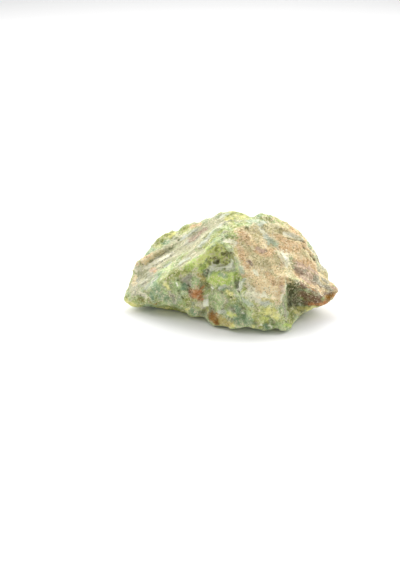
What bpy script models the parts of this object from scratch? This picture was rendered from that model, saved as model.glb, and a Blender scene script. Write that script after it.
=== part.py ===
"""A piece of rough green opal, broken from the rock, as one closed solid that lies on a flat sole.

The stone is drawn like a boat: contour lines run lengthwise from the left tip to the tip of the spur.
Neighbouring lines are zipped together with triangles, which gives a cage of broad fracture faces.
Small chunks are sunk into the cage, and the whole is resampled into one even skin. Ledges, ridges,
hollows and chips are then worked into the skin, as a hammer left them. The lowest points are pressed
flat, so the stone has a true face to rest on.

+X runs along the stone to the spur, +Y goes to the back, +Z is up, and the sole lies at z = 0.
"""
import bmesh
import bpy
import numpy as np
from mathutils import Matrix, Vector, noise

MM = 0.001  # one millimetre, in metres

# Driving sizes, in millimetres
LEFT_TIP = (-34.8, -0.2, 3.0)
SPUR_TIP = (34.3, -2.0, 8.2)
SKIN_STEP = 0.6  # spacing of the even skin that is worked
SOLE_FADE = (0.6, 2.2)  # heights over which the chips fade in above the sole
SOLE_TOUCH = 0.03  # points lower than this are laid on the sole
LEDGE_EDGE = 0.3  # half the width over which a ledge steps up
FACE_BUDGET = 9000  # triangles left in the finished solid
CHIP_SHIFT = Vector((13.7, 4.2, 8.9))  # slides the chip pattern over the stone

# Chips left by the break: (cell size, depth) in mm, from large scallops to small ones
CHIPS = [(8.5, 0.55), (4.2, 0.5), (2.3, 0.25)]
CHIP_MEAN = 0.6  # taken off each chip's height, so that chips cut in as much as they stand out
CELL_SPREAD = 7.0  # sets neighbouring chips' leans apart
CHIP_LEAN = 0.7  # how far a chip's floor leans, as a share of its depth

# The crusted face that looks to the front right and up, where the break left few chips
CRUST_FACING = np.array([0.36, -0.52, 0.775])
CRUST_CALM = 0.55  # share of the chip depth that is missing there
CRUST_TURN = (0.75, 0.95)  # how squarely a face must look that way: from bare to fully crusted

# Faces that look up broke more calmly than the sides
UPWARD_CALM = 0.65  # share of the chip depth that is missing there
UPWARD_TURN = (0.15, 0.65)  # upward part of the normal: from a side to a face that looks up

# Layers of the opal, seen as long low ribs on the slope
LAYER_ALONG = Vector((0.80, 0.22, 0.56))
LAYER_LENGTH = 16.0
LAYER_PITCH = 2.6
LAYER_HEIGHT = 0.28

# Contour lines round the stone, front to back, each from the left tip to the spur (mm)
LINES = {
    "rim": [
        (-33, 2, 6.5), (-31, 4.5, 10), (-30.3, 6, 12.9), (-27.8, 8, 15.4), (-24.2, 11.5, 18.6),
        (-22, 13, 21), (-19, 14, 22), (-17.5, 14, 21.5), (-15.5, 14, 23), (-13, 13.5, 24.5),
        (-9, 13, 25.6), (-6, 12, 26.8), (-3.5, 11, 29), (0, 10, 30.5), (2.5, 10, 30), (6.5, 10, 28.5),
        (10, 11.5, 29), (13, 11.5, 28), (18, 11.5, 25.5), (20.5, 11.5, 24), (22.5, 11.5, 22.5),
        (24.5, 11.5, 19.5), (28, 10.5, 15), (30, 7.5, 12), (31, 5, 10.5), (31, 3.5, 9), (33, 1.5, 8.5),
    ],
    "crown": [
        (-32, 1, 6.5), (-29.5, 3, 10), (-26.5, 5, 13), (-23, 6.5, 15), (-19, 7.5, 17.3),
        (-14.5, 8, 20.4), (-10, 8, 22.7), (-6.5, 7, 25.3), (-2.5, 6.5, 27.7), (1.5, 6, 28),
        (6, 4, 27.5), (10, 6.5, 27), (14.5, 6.5, 25.5), (18, 5.5, 23), (21.5, 5, 21),
        (23.5, 3.5, 18.5), (25.5, 2.5, 16), (28, 3.5, 12), (29.5, 2, 10.5), (31.5, 0.5, 9.5),
    ],
    "cheek": [
        (-32, 0, 6), (-29, 0.5, 8.5), (-25, 1.5, 11.5), (-21, 2, 14.5), (-17, 2.5, 17),
        (-12.5, 2.5, 20), (-8.5, 2, 23.5), (-5, 1.5, 26), (-1.5, 1, 27.5), (2, -1, 26.5),
        (6, -1.5, 24), (9.5, -2, 22), (13.5, -2, 20.5), (17, -1.5, 19), (20, -2.5, 16.5),
        (23, -3.5, 14), (26, -2.5, 11.5), (29, -2.5, 9),
    ],
    "face": [
        (-32, -0.5, 5), (-29, -1.5, 7.5), (-25, -2, 10.5), (-20.5, -1.5, 14), (-16, -2, 17.5),
        (-11.5, -2, 20), (-7.5, -2, 23), (-4.5, -1.5, 25.5), (-0.5, -3, 25.5), (3, -5.5, 22.5),
        (6, -8, 19.5), (9, -10.5, 16), (12.5, -10.5, 15), (16.5, -6, 16.5), (19.5, -6, 15.5),
        (22.5, -6.5, 13.5), (26, -6.5, 11), (29, -5, 8),
    ],
    "brow": [
        (-32.5, -1, 4.5), (-30, -2.5, 5.5), (-26, -3.5, 8.5), (-21, -4.5, 13), (-14.5, -5.5, 17.5),
        (-11, -6, 20), (-8, -6, 22), (-7, -5, 23.5), (-4, -4, 24.5), (-1.5, -5, 24.5), (0.5, -7.5, 22),
        (2, -10, 19.5), (3.5, -12, 17), (4, -14, 14.5), (4.5, -16, 12), (8.5, -16.5, 10.5),
        (12, -16.5, 10), (14.5, -15.5, 9.5), (15, -14, 11), (16, -12, 12.5), (17, -10.5, 14),
        (17, -9, 15.5), (19.5, -10, 14.5), (21, -10, 13), (23, -9.5, 12), (25, -9, 11), (28, -8, 9),
        (29.5, -7, 6.5), (31, -5, 5.5),
    ],
    "hollow": [
        (-32.5, -1, 3.5), (-29, -2.5, 4.5), (-25.5, -4, 7.5), (-20, -5.5, 12.5), (-14, -6, 17),
        (-10.5, -6, 18), (-8, -5.5, 17.5), (-6, -4, 17), (-3.5, -3.5, 17), (-1, -4, 17.5), (1, -6, 18),
        (1.5, -9, 17), (2.5, -12, 15.5), (3.5, -14.5, 12.5), (5.5, -16.5, 10), (9.5, -17, 8.5),
        (14, -16, 8), (16, -13, 9.5), (17, -10, 12), (18.5, -8.5, 13), (21.5, -8.5, 11),
        (24.5, -8, 9.5), (27.5, -7, 7.5), (30.5, -6, 5.5),
    ],
    "shelf": [
        (-32, -1, 3), (-28.5, -3, 4), (-24.5, -4.5, 6.5), (-20.5, -6, 9.5), (-16.5, -7, 12),
        (-13, -7, 14), (-9.5, -7, 16), (-8, -6, 16.5), (-5.5, -6, 16.5), (-3, -6.5, 17), (0, -8, 17.5),
        (1.5, -10, 16), (2.5, -12.5, 13.5), (3.5, -14.5, 11), (5.5, -16, 8), (9.5, -16.5, 7),
        (14, -16, 6.5), (16, -13, 7.5), (17.5, -9, 9), (19.5, -6.5, 9.5), (22, -6, 8), (25.5, -6, 6.5),
        (28.5, -5.8, 5), (30.8, -5.3, 4.4),
    ],
    "step": [
        (-31.5, -1, 2), (-28, -3, 3.5), (-24.5, -4.5, 5), (-20, -6, 7.5), (-16.5, -7, 9.5),
        (-12.5, -8, 11.5), (-9.5, -7.5, 12.5), (-7, -7, 12.5), (-3, -9, 12.5), (0.5, -10.5, 13.5),
        (2, -13, 11), (3.5, -15, 8), (5.5, -16, 6), (9.5, -17, 5), (14.5, -16, 4.5), (16.5, -13.5, 6),
        (18.5, -8.5, 6.5), (20.5, -5.5, 6), (23.5, -5, 5.5), (26, -5, 4.5), (28.5, -5, 3.8),
        (30.9, -4.8, 3.5),
    ],
    "belly": [
        (-31.5, -0.5, 1.5), (-27.5, -2.5, 3), (-24, -4, 3.5), (-19.5, -6, 5), (-16, -7.5, 6.5),
        (-12, -8.5, 7.5), (-8.5, -9, 7.5), (-5.5, -10, 7.5), (-2, -11.5, 8), (1, -13, 7),
        (3.5, -15, 5.5), (5.5, -16, 4), (9.5, -16.5, 2.5), (14.5, -16, 3), (17, -13, 3),
        (19.5, -8, 4.5), (22, -5.5, 3.5), (24.5, -4.5, 3), (26.5, -4.3, 2.8), (30.2, -4.2, 2.9),
    ],
    "skirt": [
        (-33.2, -0.2, 0.9), (-30, -0.7, 1), (-26.5, -1.2, 1.8), (-23.5, -1.6, 1.8), (-20.5, -2.2, 1.3),
        (-17, -3, 1.9), (-14.5, -4.7, 1.5), (-12.5, -6.8, 0.7), (-8.5, -8, 1.4), (-6, -13.2, 0.8),
        (-3, -14.6, 1.4), (0, -16.6, 1), (4.5, -16, 1.9), (7, -17.2, 1.6), (10, -18.2, 1.1), (14, -17.6, 2),
        (16, -17.6, 1), (18, -17, 1.4), (20, -12.6, 1.6), (22, -8.5, 2), (24, -7, 2.5), (26, -6, 2.5),
        (27.5, -4.6, 2.7), (30.2, -4.2, 3),
    ],
    "sole_front": [
        (-31, 0, 0.7), (-26.5, 0.9, 0.5), (-22, 1.4, -0.2), (-18, 0.2, -0.4), (-15, -2, -0.4),
        (-11.5, -4, -0.4), (-8.5, -4.5, -0.4), (-6.5, -8, -0.4), (-3, -9.8, -0.4), (1, -11, -0.4),
        (4.5, -11, -0.4), (7, -12.2, -0.4), (11, -12.6, -0.4), (15, -12.2, -0.4), (18, -10.8, -0.4),
        (19.5, -8, -0.3), (21.5, -5.5, 1), (24, -4, 2), (27, -3.5, 2.8), (30, -2.5, 4),
    ],
    "sole_back": [
        (-31, 1.6, 1.2), (-26.5, 3.5, 0.7), (-22.5, 5, -0.4), (-18, 7.5, -0.4), (-13, 8, -0.4),
        (-8, 6.5, -0.4), (-3, 7, -0.4), (2, 9, -0.4), (7, 9.5, -0.4), (12, 7, -0.4), (16, 4.5, -0.4),
        (19, 1.5, -0.4), (22, 0.5, 0.6), (25, 0.5, 2.2), (28.5, 0, 3.2), (31, -0.5, 4),
    ],
    "back_skirt": [
        (-32, 2, 1.8), (-28, 5.5, 1.8), (-24, 9, 1.2), (-20, 12, 2), (-15, 13.8, 3.4), (-10, 12.6, 3),
        (-5, 11.5, 1.6), (0, 11.5, 1), (5, 12.8, 2.4), (10, 13.2, 3.4), (14.5, 11.2, 2.2),
        (18, 8, 1.2), (21, 6, 2), (24.5, 4.5, 2.8), (28, 3, 3.6), (31, 1.5, 4.4),
    ],
    "back_belly": [
        (-32.5, 3, 3.5), (-29.5, 7.5, 5), (-26, 11.5, 6), (-21, 14.5, 7), (-16, 16.5, 8),
        (-11, 16, 8.5), (-6, 15, 7), (-1, 13.8, 6.5), (4, 14.5, 8), (9, 16, 9), (13.5, 14.5, 8),
        (17.5, 11.5, 6.5), (21, 9.5, 6), (24.5, 8, 6), (28, 5.5, 5.5), (31, 3, 6),
    ],
    "ledge_lip": [
        (-32.5, 3.3, 4.8), (-30, 8, 8), (-26.5, 12, 10), (-21, 15, 11.5), (-15.5, 16.8, 12.5),
        (-10, 16.6, 13.5), (-5, 15.2, 12.5), (0, 13.6, 12), (5, 14, 14), (10, 15.6, 14.5),
        (15, 14.6, 12.5), (19, 12.4, 10.5), (22.5, 11, 9.5), (25.5, 9.5, 9), (28.5, 7, 8),
        (31, 4, 7.3),
    ],
    "ledge_foot": [
        (-32.5, 3.2, 5.3), (-30, 7.6, 9), (-26.5, 11, 11.5), (-21, 13.4, 13), (-15.5, 14.8, 14),
        (-10.5, 14.8, 15), (-5.5, 14.2, 15), (0, 13, 15.5), (5, 13.6, 17), (10, 15.2, 17.5),
        (15, 14.2, 16), (19, 13, 14), (22.5, 12, 12.5), (25.5, 10.5, 11), (28.5, 8, 9.5), (31, 4.5, 8),
    ],
    "shoulder": [
        (-32.5, 3, 6), (-30.5, 7, 10), (-27.5, 10.3, 13.5), (-23, 13.6, 17), (-18, 14.8, 18.5),
        (-12.5, 14.2, 20.5), (-7, 13.6, 22.5), (-2, 12.8, 25), (3, 12.5, 25.5), (8.5, 13.6, 24),
        (13.5, 14, 23), (18.5, 13.4, 20), (22.5, 12.6, 16.5), (25.5, 11.4, 13.5), (28.2, 8.7, 10.5),
        (30.5, 5.2, 8.6),
    ],
}

# Loose chunks grown onto the cage: the corners of each, in mm
CHUNKS = {
    "bay_block": [
        (-6, -5, 17), (0.5, -6, 18.3), (-7, -8.2, 16), (-3, -10, 16), (1.2, -11.4, 17.4),
        (-7, -7.8, 12.3), (-3, -10, 12.3), (1, -11.4, 13.6), (-5, 0, 12), (0, 0, 12),
    ],
    "spur_flap": [
        (21.5, -3, 3.4), (26.5, -3, 3), (25, -4.8, 1.4), (22.5, -5, 2), (22, 0, 3), (26, 0, 4),
    ],
    "sole_heel": [
        (14, -16.4, 4), (18.5, -15, 0.6), (15.5, -15.8, 0.2), (14, -10, 0), (19, -9, 2), (17, -12, 6),
    ],
    "back_knob": [
        (-14, 12, 6), (-8, 12, 6), (-16, 17.2, 9), (-9, 17, 8), (-12, 17.6, 12), (-15, 12, 13),
    ],
}

# Ridges (+) and grooves (-) along a path: (points, half width, height)
CREASES = {
    "vug_slot": ([(1.5, -10.8, 16.5), (1.6, -12.5, 14.5), (2, -13.8, 12.5)], 1.0, -1.3),
    "buttress_edge": ([(16, -12, 12), (15, -14, 10.5), (14.3, -16, 8), (14, -16, 4)], 1.3, 0.5),
    "belt_crease": ([(4.5, -14.5, 1.5), (3.5, -15, 6), (2.5, -13.5, 9)], 1.4, -0.8),
    "notch_groove": ([(17, -9.5, 14.5), (18, -9, 11), (19, -8, 8), (21, -6, 5)], 1.2, -0.9),
    "bay_roof": ([(-8, -5.5, 23), (-4, -4.4, 24.6), (-1, -5.5, 24)], 1.2, 0.4),
    "slope_rib_low": ([(-28.5, -1, 7.5), (-23, 0, 11.5), (-16, 0, 17), (-8.5, 0.5, 23)], 1.8, 0.4),
    "slope_rib_mid": ([(-25.5, 2, 11), (-19, 2.5, 15.5), (-11, 2.5, 21), (-4.5, 3, 27)], 1.6, 0.35),
    "slope_rib_top": ([(-25.5, 7, 15), (-20, 9, 18), (-13.5, 10, 21), (-7.5, 11, 25)], 1.8, 0.2),
    "spur_edge": ([(17, -9.5, 15.5), (21, -10, 13.5), (25, -9, 11), (28.5, -8, 9)], 1.3, 0.5),
    "back_gully": ([(2, 13, 24), (-1, 13, 15), (-3, 14.5, 8), (-1, 12, 2)], 3.2, -1.5),
    "back_rib": ([(9, 14, 24), (10, 15.5, 16), (8, 16, 9), (10, 13, 3)], 2.4, 1.0),
    "back_step": ([(13, 14, 21), (18, 13, 14), (24, 9, 8)], 2.2, -1.0),
    "under_groove": ([(-20, 2, 0), (-8, 0, 0), (2, -4, 0), (10, -11, 0)], 1.6, -0.8),
}

# Ledges: (edge of the raised slab, direction to the slab, slab width, height)
LEDGES = {
    "slope_ledge": (
        [(-30, 4.5, 11.5), (-26.5, 5.5, 14.3), (-23.5, 6.5, 16.2), (-21, 7.2, 17.2)],
        (-0.3, 0.7, 0.6), 4.0, 0.8,
    ),
    "top_ledge": ([(17, 7, 23.5), (21.5, 6.5, 21), (24.5, 7.5, 20)], (0.1, 0.9, 0.4), 5.0, 0.9),
    "end_flake": ([(23, 6, 19.5), (25.3, 5, 17), (26.7, 4, 15), (28, 3.5, 13)], (0.8, 0.6, 0), 3.5, 0.7),
    "tan_lip": ([(4.6, -15.5, 12), (8.6, -16.5, 10.6), (13.5, -16, 10)], (0, 0.5, 0.85), 3.0, 0.5),
    "back_ledge": ([(-25, 13, 9.5), (-16, 16, 12.5), (-7, 15.5, 13)], (0, 0.3, -0.95), 6.0, 1.3),
    "back_slab": ([(-6, 14, 23), (-9, 15, 17), (-8, 15.5, 13)], (-0.95, 0.1, 0.2), 6.0, 1.1),
}

# Lumps (+) and hollows (-): (centre, radius, height)
LUMPS = {
    "bay": ((-3, -3, 21.5), 4.5, -1.3),
    "bay_left": ((-8, -5.5, 15.5), 2.6, -1.0),
    "bay_crumb": ((-4.6, -3.2, 20), 1.6, 0.7),
    "brow_knot": ((-10.5, -6, 19.3), 2.2, 0.7),
    "brow_lip": ((-6, -5, 23.8), 2.0, 0.6),
    "nub": ((30.2, 4, 11), 1.6, 0.4),
    "rust_knot": ((-10, -8.5, 10), 2.2, 0.6),
    "rust_pit": ((-9, -8.8, 9.4), 1.0, -0.7),
    "square_chip": ((-8, -9.8, 7.5), 1.1, 0.8),
    "tip_block": ((-28.5, -3, 4), 2.2, 0.6),
    "under_flake": ((-18.5, -4.4, 1.6), 1.4, 0.6),
    "belt_bowl": ((3.6, -15, 6), 2.6, -0.8),
    "belt_bulge": ((8, -17, 7), 2.6, 0.5),
    "belt_bowl_right": ((12, -17, 4), 2.4, -0.6),
    "left_bowl": ((-21.5, -5.6, 6.5), 3.4, -0.6),
    "left_bowl_high": ((-14.5, -7, 14), 3.2, -0.7),
    "left_bulge": ((-17, -7.6, 7), 2.4, 0.6),
    "middle_bulge": ((-3, -10.8, 9.6), 2.6, 0.6),
    "middle_bowl": ((-5.5, -11.5, 4.5), 2.4, -0.7),
    "toe_bulge": ((-0.5, -14, 5), 2.2, 0.5),
    "tan_dish": ((12.5, -0.8, 22.8), 3.2, -0.6),
    "tan_dish_low": ((9.5, -8.5, 17.5), 4.0, -0.5),
    "tan_swell": ((16.5, -2, 18.8), 3.6, 0.6),
    "tan_corner": ((6, -13, 15), 2.6, 0.4),
    "spur_swell": ((21.5, -4, 15.6), 2.6, 0.6),
    "spur_dish": ((26, -3, 12.4), 2.4, -0.5),
    "notch_bowl": ((22, -6, 8.5), 3.0, -0.8),
    "summit_dent": ((7, 9.5, 28.5), 2.4, -0.5),
    "back_scoop": ((17, 13, 14), 6.0, -1.8),
    "back_scoop_left": ((-24, 12, 13), 4.6, -1.2),
    "back_boss": ((5, 14.5, 14), 3.4, 1.0),
    "back_boss_low": ((14, 13.5, 5), 3.4, 1.0),
    "left_end_bowl": ((-30, 8, 8.5), 3.2, -0.8),
    "under_bowl": ((9, -2, 0), 5.5, -1.5),
    "under_bowl_left": ((-13, 4, 0), 4.5, -1.1),
    "under_spur": ((25, -1, 2.5), 3.5, -0.8),
}


def clear_scene():
    """Remove whatever the file holds."""
    for item in list(bpy.data.objects):
        bpy.data.objects.remove(item)


def zip_lines(cage, upper, lower):
    """Join two lines that share both ends with triangles, taking the shorter diagonal each time."""
    i = 0
    j = 0
    while i < len(upper) - 1 or j < len(lower) - 1:
        step_upper = i < len(upper) - 1
        if step_upper and j < len(lower) - 1:
            across_upper = (upper[i + 1].co - lower[j].co).length
            across_lower = (upper[i].co - lower[j + 1].co).length
            step_upper = across_upper < across_lower
        if step_upper:
            corners = (upper[i], lower[j], upper[i + 1])
            i += 1
        else:
            corners = (upper[i], lower[j], lower[j + 1])
            j += 1
        if len(set(corners)) == 3:
            cage.faces.new(corners)


def build_cage():
    """The broad fracture faces: all contour lines zipped into one closed surface."""
    cage = bmesh.new()
    left = cage.verts.new(LEFT_TIP)
    right = cage.verts.new(SPUR_TIP)
    rows = []
    for points in LINES.values():
        inner = [cage.verts.new(point) for point in points]
        rows.append([left] + inner + [right])
    for row, following in zip(rows, rows[1:] + rows[:1]):
        zip_lines(cage, row, following)
    bmesh.ops.recalc_face_normals(cage, faces=cage.faces)
    return cage


def add_chunks(cage):
    """Sink each loose chunk into the cage as its own convex lump; the skin joins them."""
    for corners in CHUNKS.values():
        points = [cage.verts.new(corner) for corner in corners]
        hull = bmesh.ops.convex_hull(cage, input=points)
        faces = [piece for piece in hull["geom"] if isinstance(piece, bmesh.types.BMFace)]
        bmesh.ops.recalc_face_normals(cage, faces=faces)
        inside = set(hull["geom_interior"]) | set(hull["geom_unused"])
        loose = [piece for piece in inside if isinstance(piece, bmesh.types.BMVert)]
        bmesh.ops.delete(cage, geom=loose, context="VERTS")


def as_object(name, shape):
    """Put a bmesh into a linked object."""
    mesh = bpy.data.meshes.new(name)
    shape.to_mesh(mesh)
    shape.free()
    thing = bpy.data.objects.new(name, mesh)
    bpy.context.scene.collection.objects.link(thing)
    return thing


def bake_modifiers(thing):
    """Turn an object's modifiers into plain mesh."""
    depsgraph = bpy.context.evaluated_depsgraph_get()
    mesh = bpy.data.meshes.new_from_object(thing.evaluated_get(depsgraph))
    thing.modifiers.clear()
    thing.data = mesh


def even_skin(thing):
    """Resample the cage and its chunks into one even skin of small squares."""
    remesh = thing.modifiers.new("even_skin", "REMESH")
    remesh.mode = "VOXEL"
    remesh.voxel_size = SKIN_STEP
    bake_modifiers(thing)


def read_skin(thing):
    """The skin's points and outward normals, as arrays."""
    count = len(thing.data.vertices)
    points = np.empty(count * 3)
    normals = np.empty(count * 3)
    thing.data.vertices.foreach_get("co", points)
    thing.data.vertex_normals.foreach_get("vector", normals)
    return points.reshape(-1, 3), normals.reshape(-1, 3)


def write_skin(thing, points):
    """Put worked points back on the skin."""
    thing.data.vertices.foreach_set("co", points.ravel())
    thing.data.update()


def nearest_on_path(points, path):
    """For each point, the nearest place on a path and how far away it is."""
    path = np.array(path, dtype=float)
    best = np.full(len(points), np.inf)
    foot = np.zeros_like(points)
    for start, end in zip(path[:-1], path[1:]):
        along = end - start
        share = np.clip((points - start) @ along / (along @ along), 0.0, 1.0)
        place = start + share[:, None] * along
        away = np.linalg.norm(points - place, axis=1)
        closer = away < best
        best[closer] = away[closer]
        foot[closer] = place[closer]
    return foot, best


def hill(away, radius):
    """A soft hill: 1 in the middle, 0 from the radius outwards."""
    share = np.clip(away / radius, 0.0, 1.0)
    return (1.0 - share**2) ** 2


def smooth_rise(value, low, high):
    """0 below low, 1 above high, and smooth between them."""
    share = np.clip((value - low) / (high - low), 0.0, 1.0)
    return share * share * (3.0 - 2.0 * share)


def crease_height(points):
    """Ridges and grooves that follow a path."""
    height = np.zeros(len(points))
    for path, half_width, rise in CREASES.values():
        _, away = nearest_on_path(points, path)
        height += rise * hill(away, half_width)
    return height


def lump_height(points):
    """Lumps and hollows."""
    height = np.zeros(len(points))
    for centre, radius, rise in LUMPS.values():
        away = np.linalg.norm(points - np.array(centre), axis=1)
        height += rise * hill(away, radius)
    return height


def ledge_height(points):
    """Slabs that end in a sharp step on one side and run out into the stone on the other."""
    height = np.zeros(len(points))
    for path, uphill, width, rise in LEDGES.values():
        foot, away = nearest_on_path(points, path)
        toward = np.array(uphill) / np.linalg.norm(uphill)
        ahead = (points - foot) @ toward
        step = smooth_rise(ahead, -LEDGE_EDGE, LEDGE_EDGE)
        height += rise * step * hill(away, width)
    return height


def chip_height(point):
    """Scallops with sharp rims, each with its own lean, in several sizes."""
    height = 0.0
    for cell, depth in CHIPS:
        place = (Vector(point) + CHIP_SHIFT) / cell
        away, centres = noise.voronoi(place)
        ratio = away[0] / max(away[1], 1e-6)
        lean = noise.cell_vector(centres[0] * CELL_SPREAD).dot(place - centres[0])
        height += depth * (ratio**2 - CHIP_MEAN + CHIP_LEAN * lean)
    return height


def layer_height(point):
    """Long low ribs that follow the layers of the opal."""
    along = LAYER_ALONG.normalized()
    place = Vector(point)
    travel = place.dot(along)
    across = place - along * travel
    return LAYER_HEIGHT * noise.noise(across / LAYER_PITCH + along * travel / LAYER_LENGTH)


def roughness_of_break(points, normals):
    """How hackly the break is: most on the front and back, least on the slope and the crusted face."""
    faces_up = smooth_rise(normals[:, 2], *UPWARD_TURN)
    crusted = smooth_rise(normals @ CRUST_FACING, *CRUST_TURN)
    above_sole = smooth_rise(points[:, 2], *SOLE_FADE)
    return (1.0 - UPWARD_CALM * faces_up) * (1.0 - CRUST_CALM * crusted) * above_sole


def work_the_skin(thing):
    """Raise and lower the skin along its normals, then press the lowest points flat."""
    points, normals = read_skin(thing)
    height = crease_height(points) + lump_height(points) + ledge_height(points)
    points = points + normals * height[:, None]
    chips = np.array([chip_height(point) for point in points])
    layers = np.array([layer_height(point) for point in points])
    rough = roughness_of_break(points, normals)
    points = points + normals * (chips * rough + layers)[:, None]
    points[:, 2] = np.maximum(points[:, 2], 0.0)
    write_skin(thing, points)


def thin_out(thing):
    """Drop triangles where the stone is even, and keep them along its edges."""
    triangles = 2 * len(thing.data.polygons)
    decimate = thing.modifiers.new("thin_out", "DECIMATE")
    decimate.ratio = FACE_BUDGET / triangles
    decimate.use_collapse_triangulate = True
    bake_modifiers(thing)


def level_sole(thing):
    """Put every point that is all but on the sole exactly on it."""
    for vertex in thing.data.vertices:
        if vertex.co.z < SOLE_TOUCH:
            vertex.co.z = 0.0


def centre_on_origin(thing):
    """Slide the stone along the floor until the middle of its box is over the origin."""
    points, _ = read_skin(thing)
    middle = (points.min(axis=0) + points.max(axis=0)) / 2.0
    thing.data.transform(Matrix.Translation((-middle[0], -middle[1], 0.0)))


def opal_material():
    """Rough opal: a translucent green stone with a dull broken surface."""
    material = bpy.data.materials.new("green_opal")
    material.use_nodes = True
    shader = material.node_tree.nodes["Principled BSDF"]
    shader.inputs["Base Color"].default_value = (0.42, 0.47, 0.22, 1.0)
    shader.inputs["Roughness"].default_value = 0.55
    shader.inputs["Metallic"].default_value = 0.0
    return material


def main():
    clear_scene()
    cage = build_cage()
    add_chunks(cage)
    stone = as_object("opal_stone", cage)
    even_skin(stone)
    work_the_skin(stone)
    thin_out(stone)
    level_sole(stone)
    centre_on_origin(stone)
    stone.data.transform(Matrix.Scale(MM, 4))
    stone.data.materials.append(opal_material())


main()
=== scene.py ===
# %% [markdown]
# # A piece of rough green opal
#
# Common opal is silica gel that has set in the cracks and hollows of a volcanic rock. Broken out of
# the ground it is one solid lump: waxy, half see-through green where the opal itself is broken, and
# a dry, sandy tan crust where the rock still clings to it. This lesson takes the plain solid of such
# a lump and gives it its broken skin, its crust and its minerals.

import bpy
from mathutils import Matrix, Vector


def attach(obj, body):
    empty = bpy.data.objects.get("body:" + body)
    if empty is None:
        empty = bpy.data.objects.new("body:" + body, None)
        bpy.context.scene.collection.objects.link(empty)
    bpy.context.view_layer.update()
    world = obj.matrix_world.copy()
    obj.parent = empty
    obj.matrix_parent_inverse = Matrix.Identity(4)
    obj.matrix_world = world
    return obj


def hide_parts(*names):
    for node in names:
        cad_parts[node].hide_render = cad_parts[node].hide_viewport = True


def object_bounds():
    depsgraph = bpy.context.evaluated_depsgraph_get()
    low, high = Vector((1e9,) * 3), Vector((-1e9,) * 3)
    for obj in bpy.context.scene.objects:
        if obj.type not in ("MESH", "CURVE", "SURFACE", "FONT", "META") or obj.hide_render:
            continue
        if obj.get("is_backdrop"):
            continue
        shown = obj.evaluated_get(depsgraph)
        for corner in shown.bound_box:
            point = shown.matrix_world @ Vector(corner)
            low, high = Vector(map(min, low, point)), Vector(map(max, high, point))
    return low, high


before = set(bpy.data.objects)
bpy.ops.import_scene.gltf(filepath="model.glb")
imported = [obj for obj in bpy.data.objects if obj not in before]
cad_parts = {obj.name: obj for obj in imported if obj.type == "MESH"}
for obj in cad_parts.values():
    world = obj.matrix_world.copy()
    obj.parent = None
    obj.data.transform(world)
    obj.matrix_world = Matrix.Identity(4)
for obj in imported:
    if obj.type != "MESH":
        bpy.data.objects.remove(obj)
cad_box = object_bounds()
print("the plain stone's box:", [tuple(round(c, 4) for c in corner) for corner in cad_box])

# %% [markdown]
# Blender works in metres, but a stone of this size is easier to think of in millimetres. So every size
# below is written in millimetres and multiplied by MM. Anything random has a fixed seed, so that the
# stone comes out the same each time.

# %% Tools and units
import math

import bmesh
import bpy
import numpy as np
from mathutils import Euler, Matrix, Vector, noise
from mathutils.bvhtree import BVHTree

MM = 0.001
SEED = 7

# %% [markdown]
# ## Camera, light and floor
#
# The stone lies on a white table and is looked down on at about 25 degrees, with a long lens from
# some 40 cm away, so that its lines hardly converge. It is lit as in a small tent of white cloth: a
# soft lamp on each side, one above and a little behind, and white walls all round. That gives the
# bright top, the calmer front and the soft, tight shadow under the stone. The Standard view keeps the
# table pure white.

# %% Camera
CAMERA_TARGET = Vector((-9.56, -0.38, 8.6)) * MM
CAMERA_TILT = math.radians(25)
CAMERA_DISTANCE = 425 * MM
CAMERA_LENS = 85
SENSOR_HEIGHT = 36

camera_data = bpy.data.cameras.new("camera")
camera_data.lens = CAMERA_LENS
camera_data.sensor_fit = "VERTICAL"
camera_data.sensor_height = SENSOR_HEIGHT
camera_data.clip_start = 0.01
camera = bpy.data.objects.new("camera", camera_data)
bpy.context.scene.collection.objects.link(camera)
line_of_sight = Vector((0, math.cos(CAMERA_TILT), -math.sin(CAMERA_TILT)))
camera.location = CAMERA_TARGET - line_of_sight * CAMERA_DISTANCE
camera.rotation_euler = (math.pi / 2 - CAMERA_TILT, 0, 0)
bpy.context.scene.camera = camera
print("the camera is at", tuple(round(c / MM) for c in camera.location), "mm")

# %% Light
ROOM_STRENGTH = 0.45

bpy.context.scene.view_settings.view_transform = "Standard"
room = bpy.data.worlds.new("white_room")
room.use_nodes = True
room.node_tree.nodes["Background"].inputs["Color"].default_value = (1, 1, 1, 1)
room.node_tree.nodes["Background"].inputs["Strength"].default_value = ROOM_STRENGTH
bpy.context.scene.world = room


def soft_light(name, place, size, watts):
    """A square lamp that looks at the stone from a place given in millimetres."""
    data = bpy.data.lights.new(name, "AREA")
    data.size = size * MM
    data.energy = watts
    lamp = bpy.data.objects.new(name, data)
    lamp.location = Vector(place) * MM
    lamp.rotation_euler = (-lamp.location).to_track_quat("-Z", "Y").to_euler()
    bpy.context.scene.collection.objects.link(lamp)


soft_light("softbox_left", (-250, 125, 190), 250, 0.82)
soft_light("softbox_right", (250, 140, 200), 250, 0.95)
soft_light("softbox_above", (0, 245, 350), 260, 1.05)
lamps = [thing.name for thing in bpy.data.objects if thing.type == "LIGHT"]
print("the stone is lit by the white room and", lamps)

# %% [markdown]
# ## The skin
#
# The plain solid is made of some nine thousand flat triangles. A broken surface of opal has softer
# hollows and finer steps than that, so the solid is first remeshed into small even squares, about 0.3 mm
# across, and relaxed until the triangles are gone. All the later relief pushes these points in and out.
# The solid itself is never touched: the skin is a copy that stands for it.

# %% Copy and remesh
SKIN_STEP = 0.295 * MM
WELD = 0.001 * MM


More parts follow.
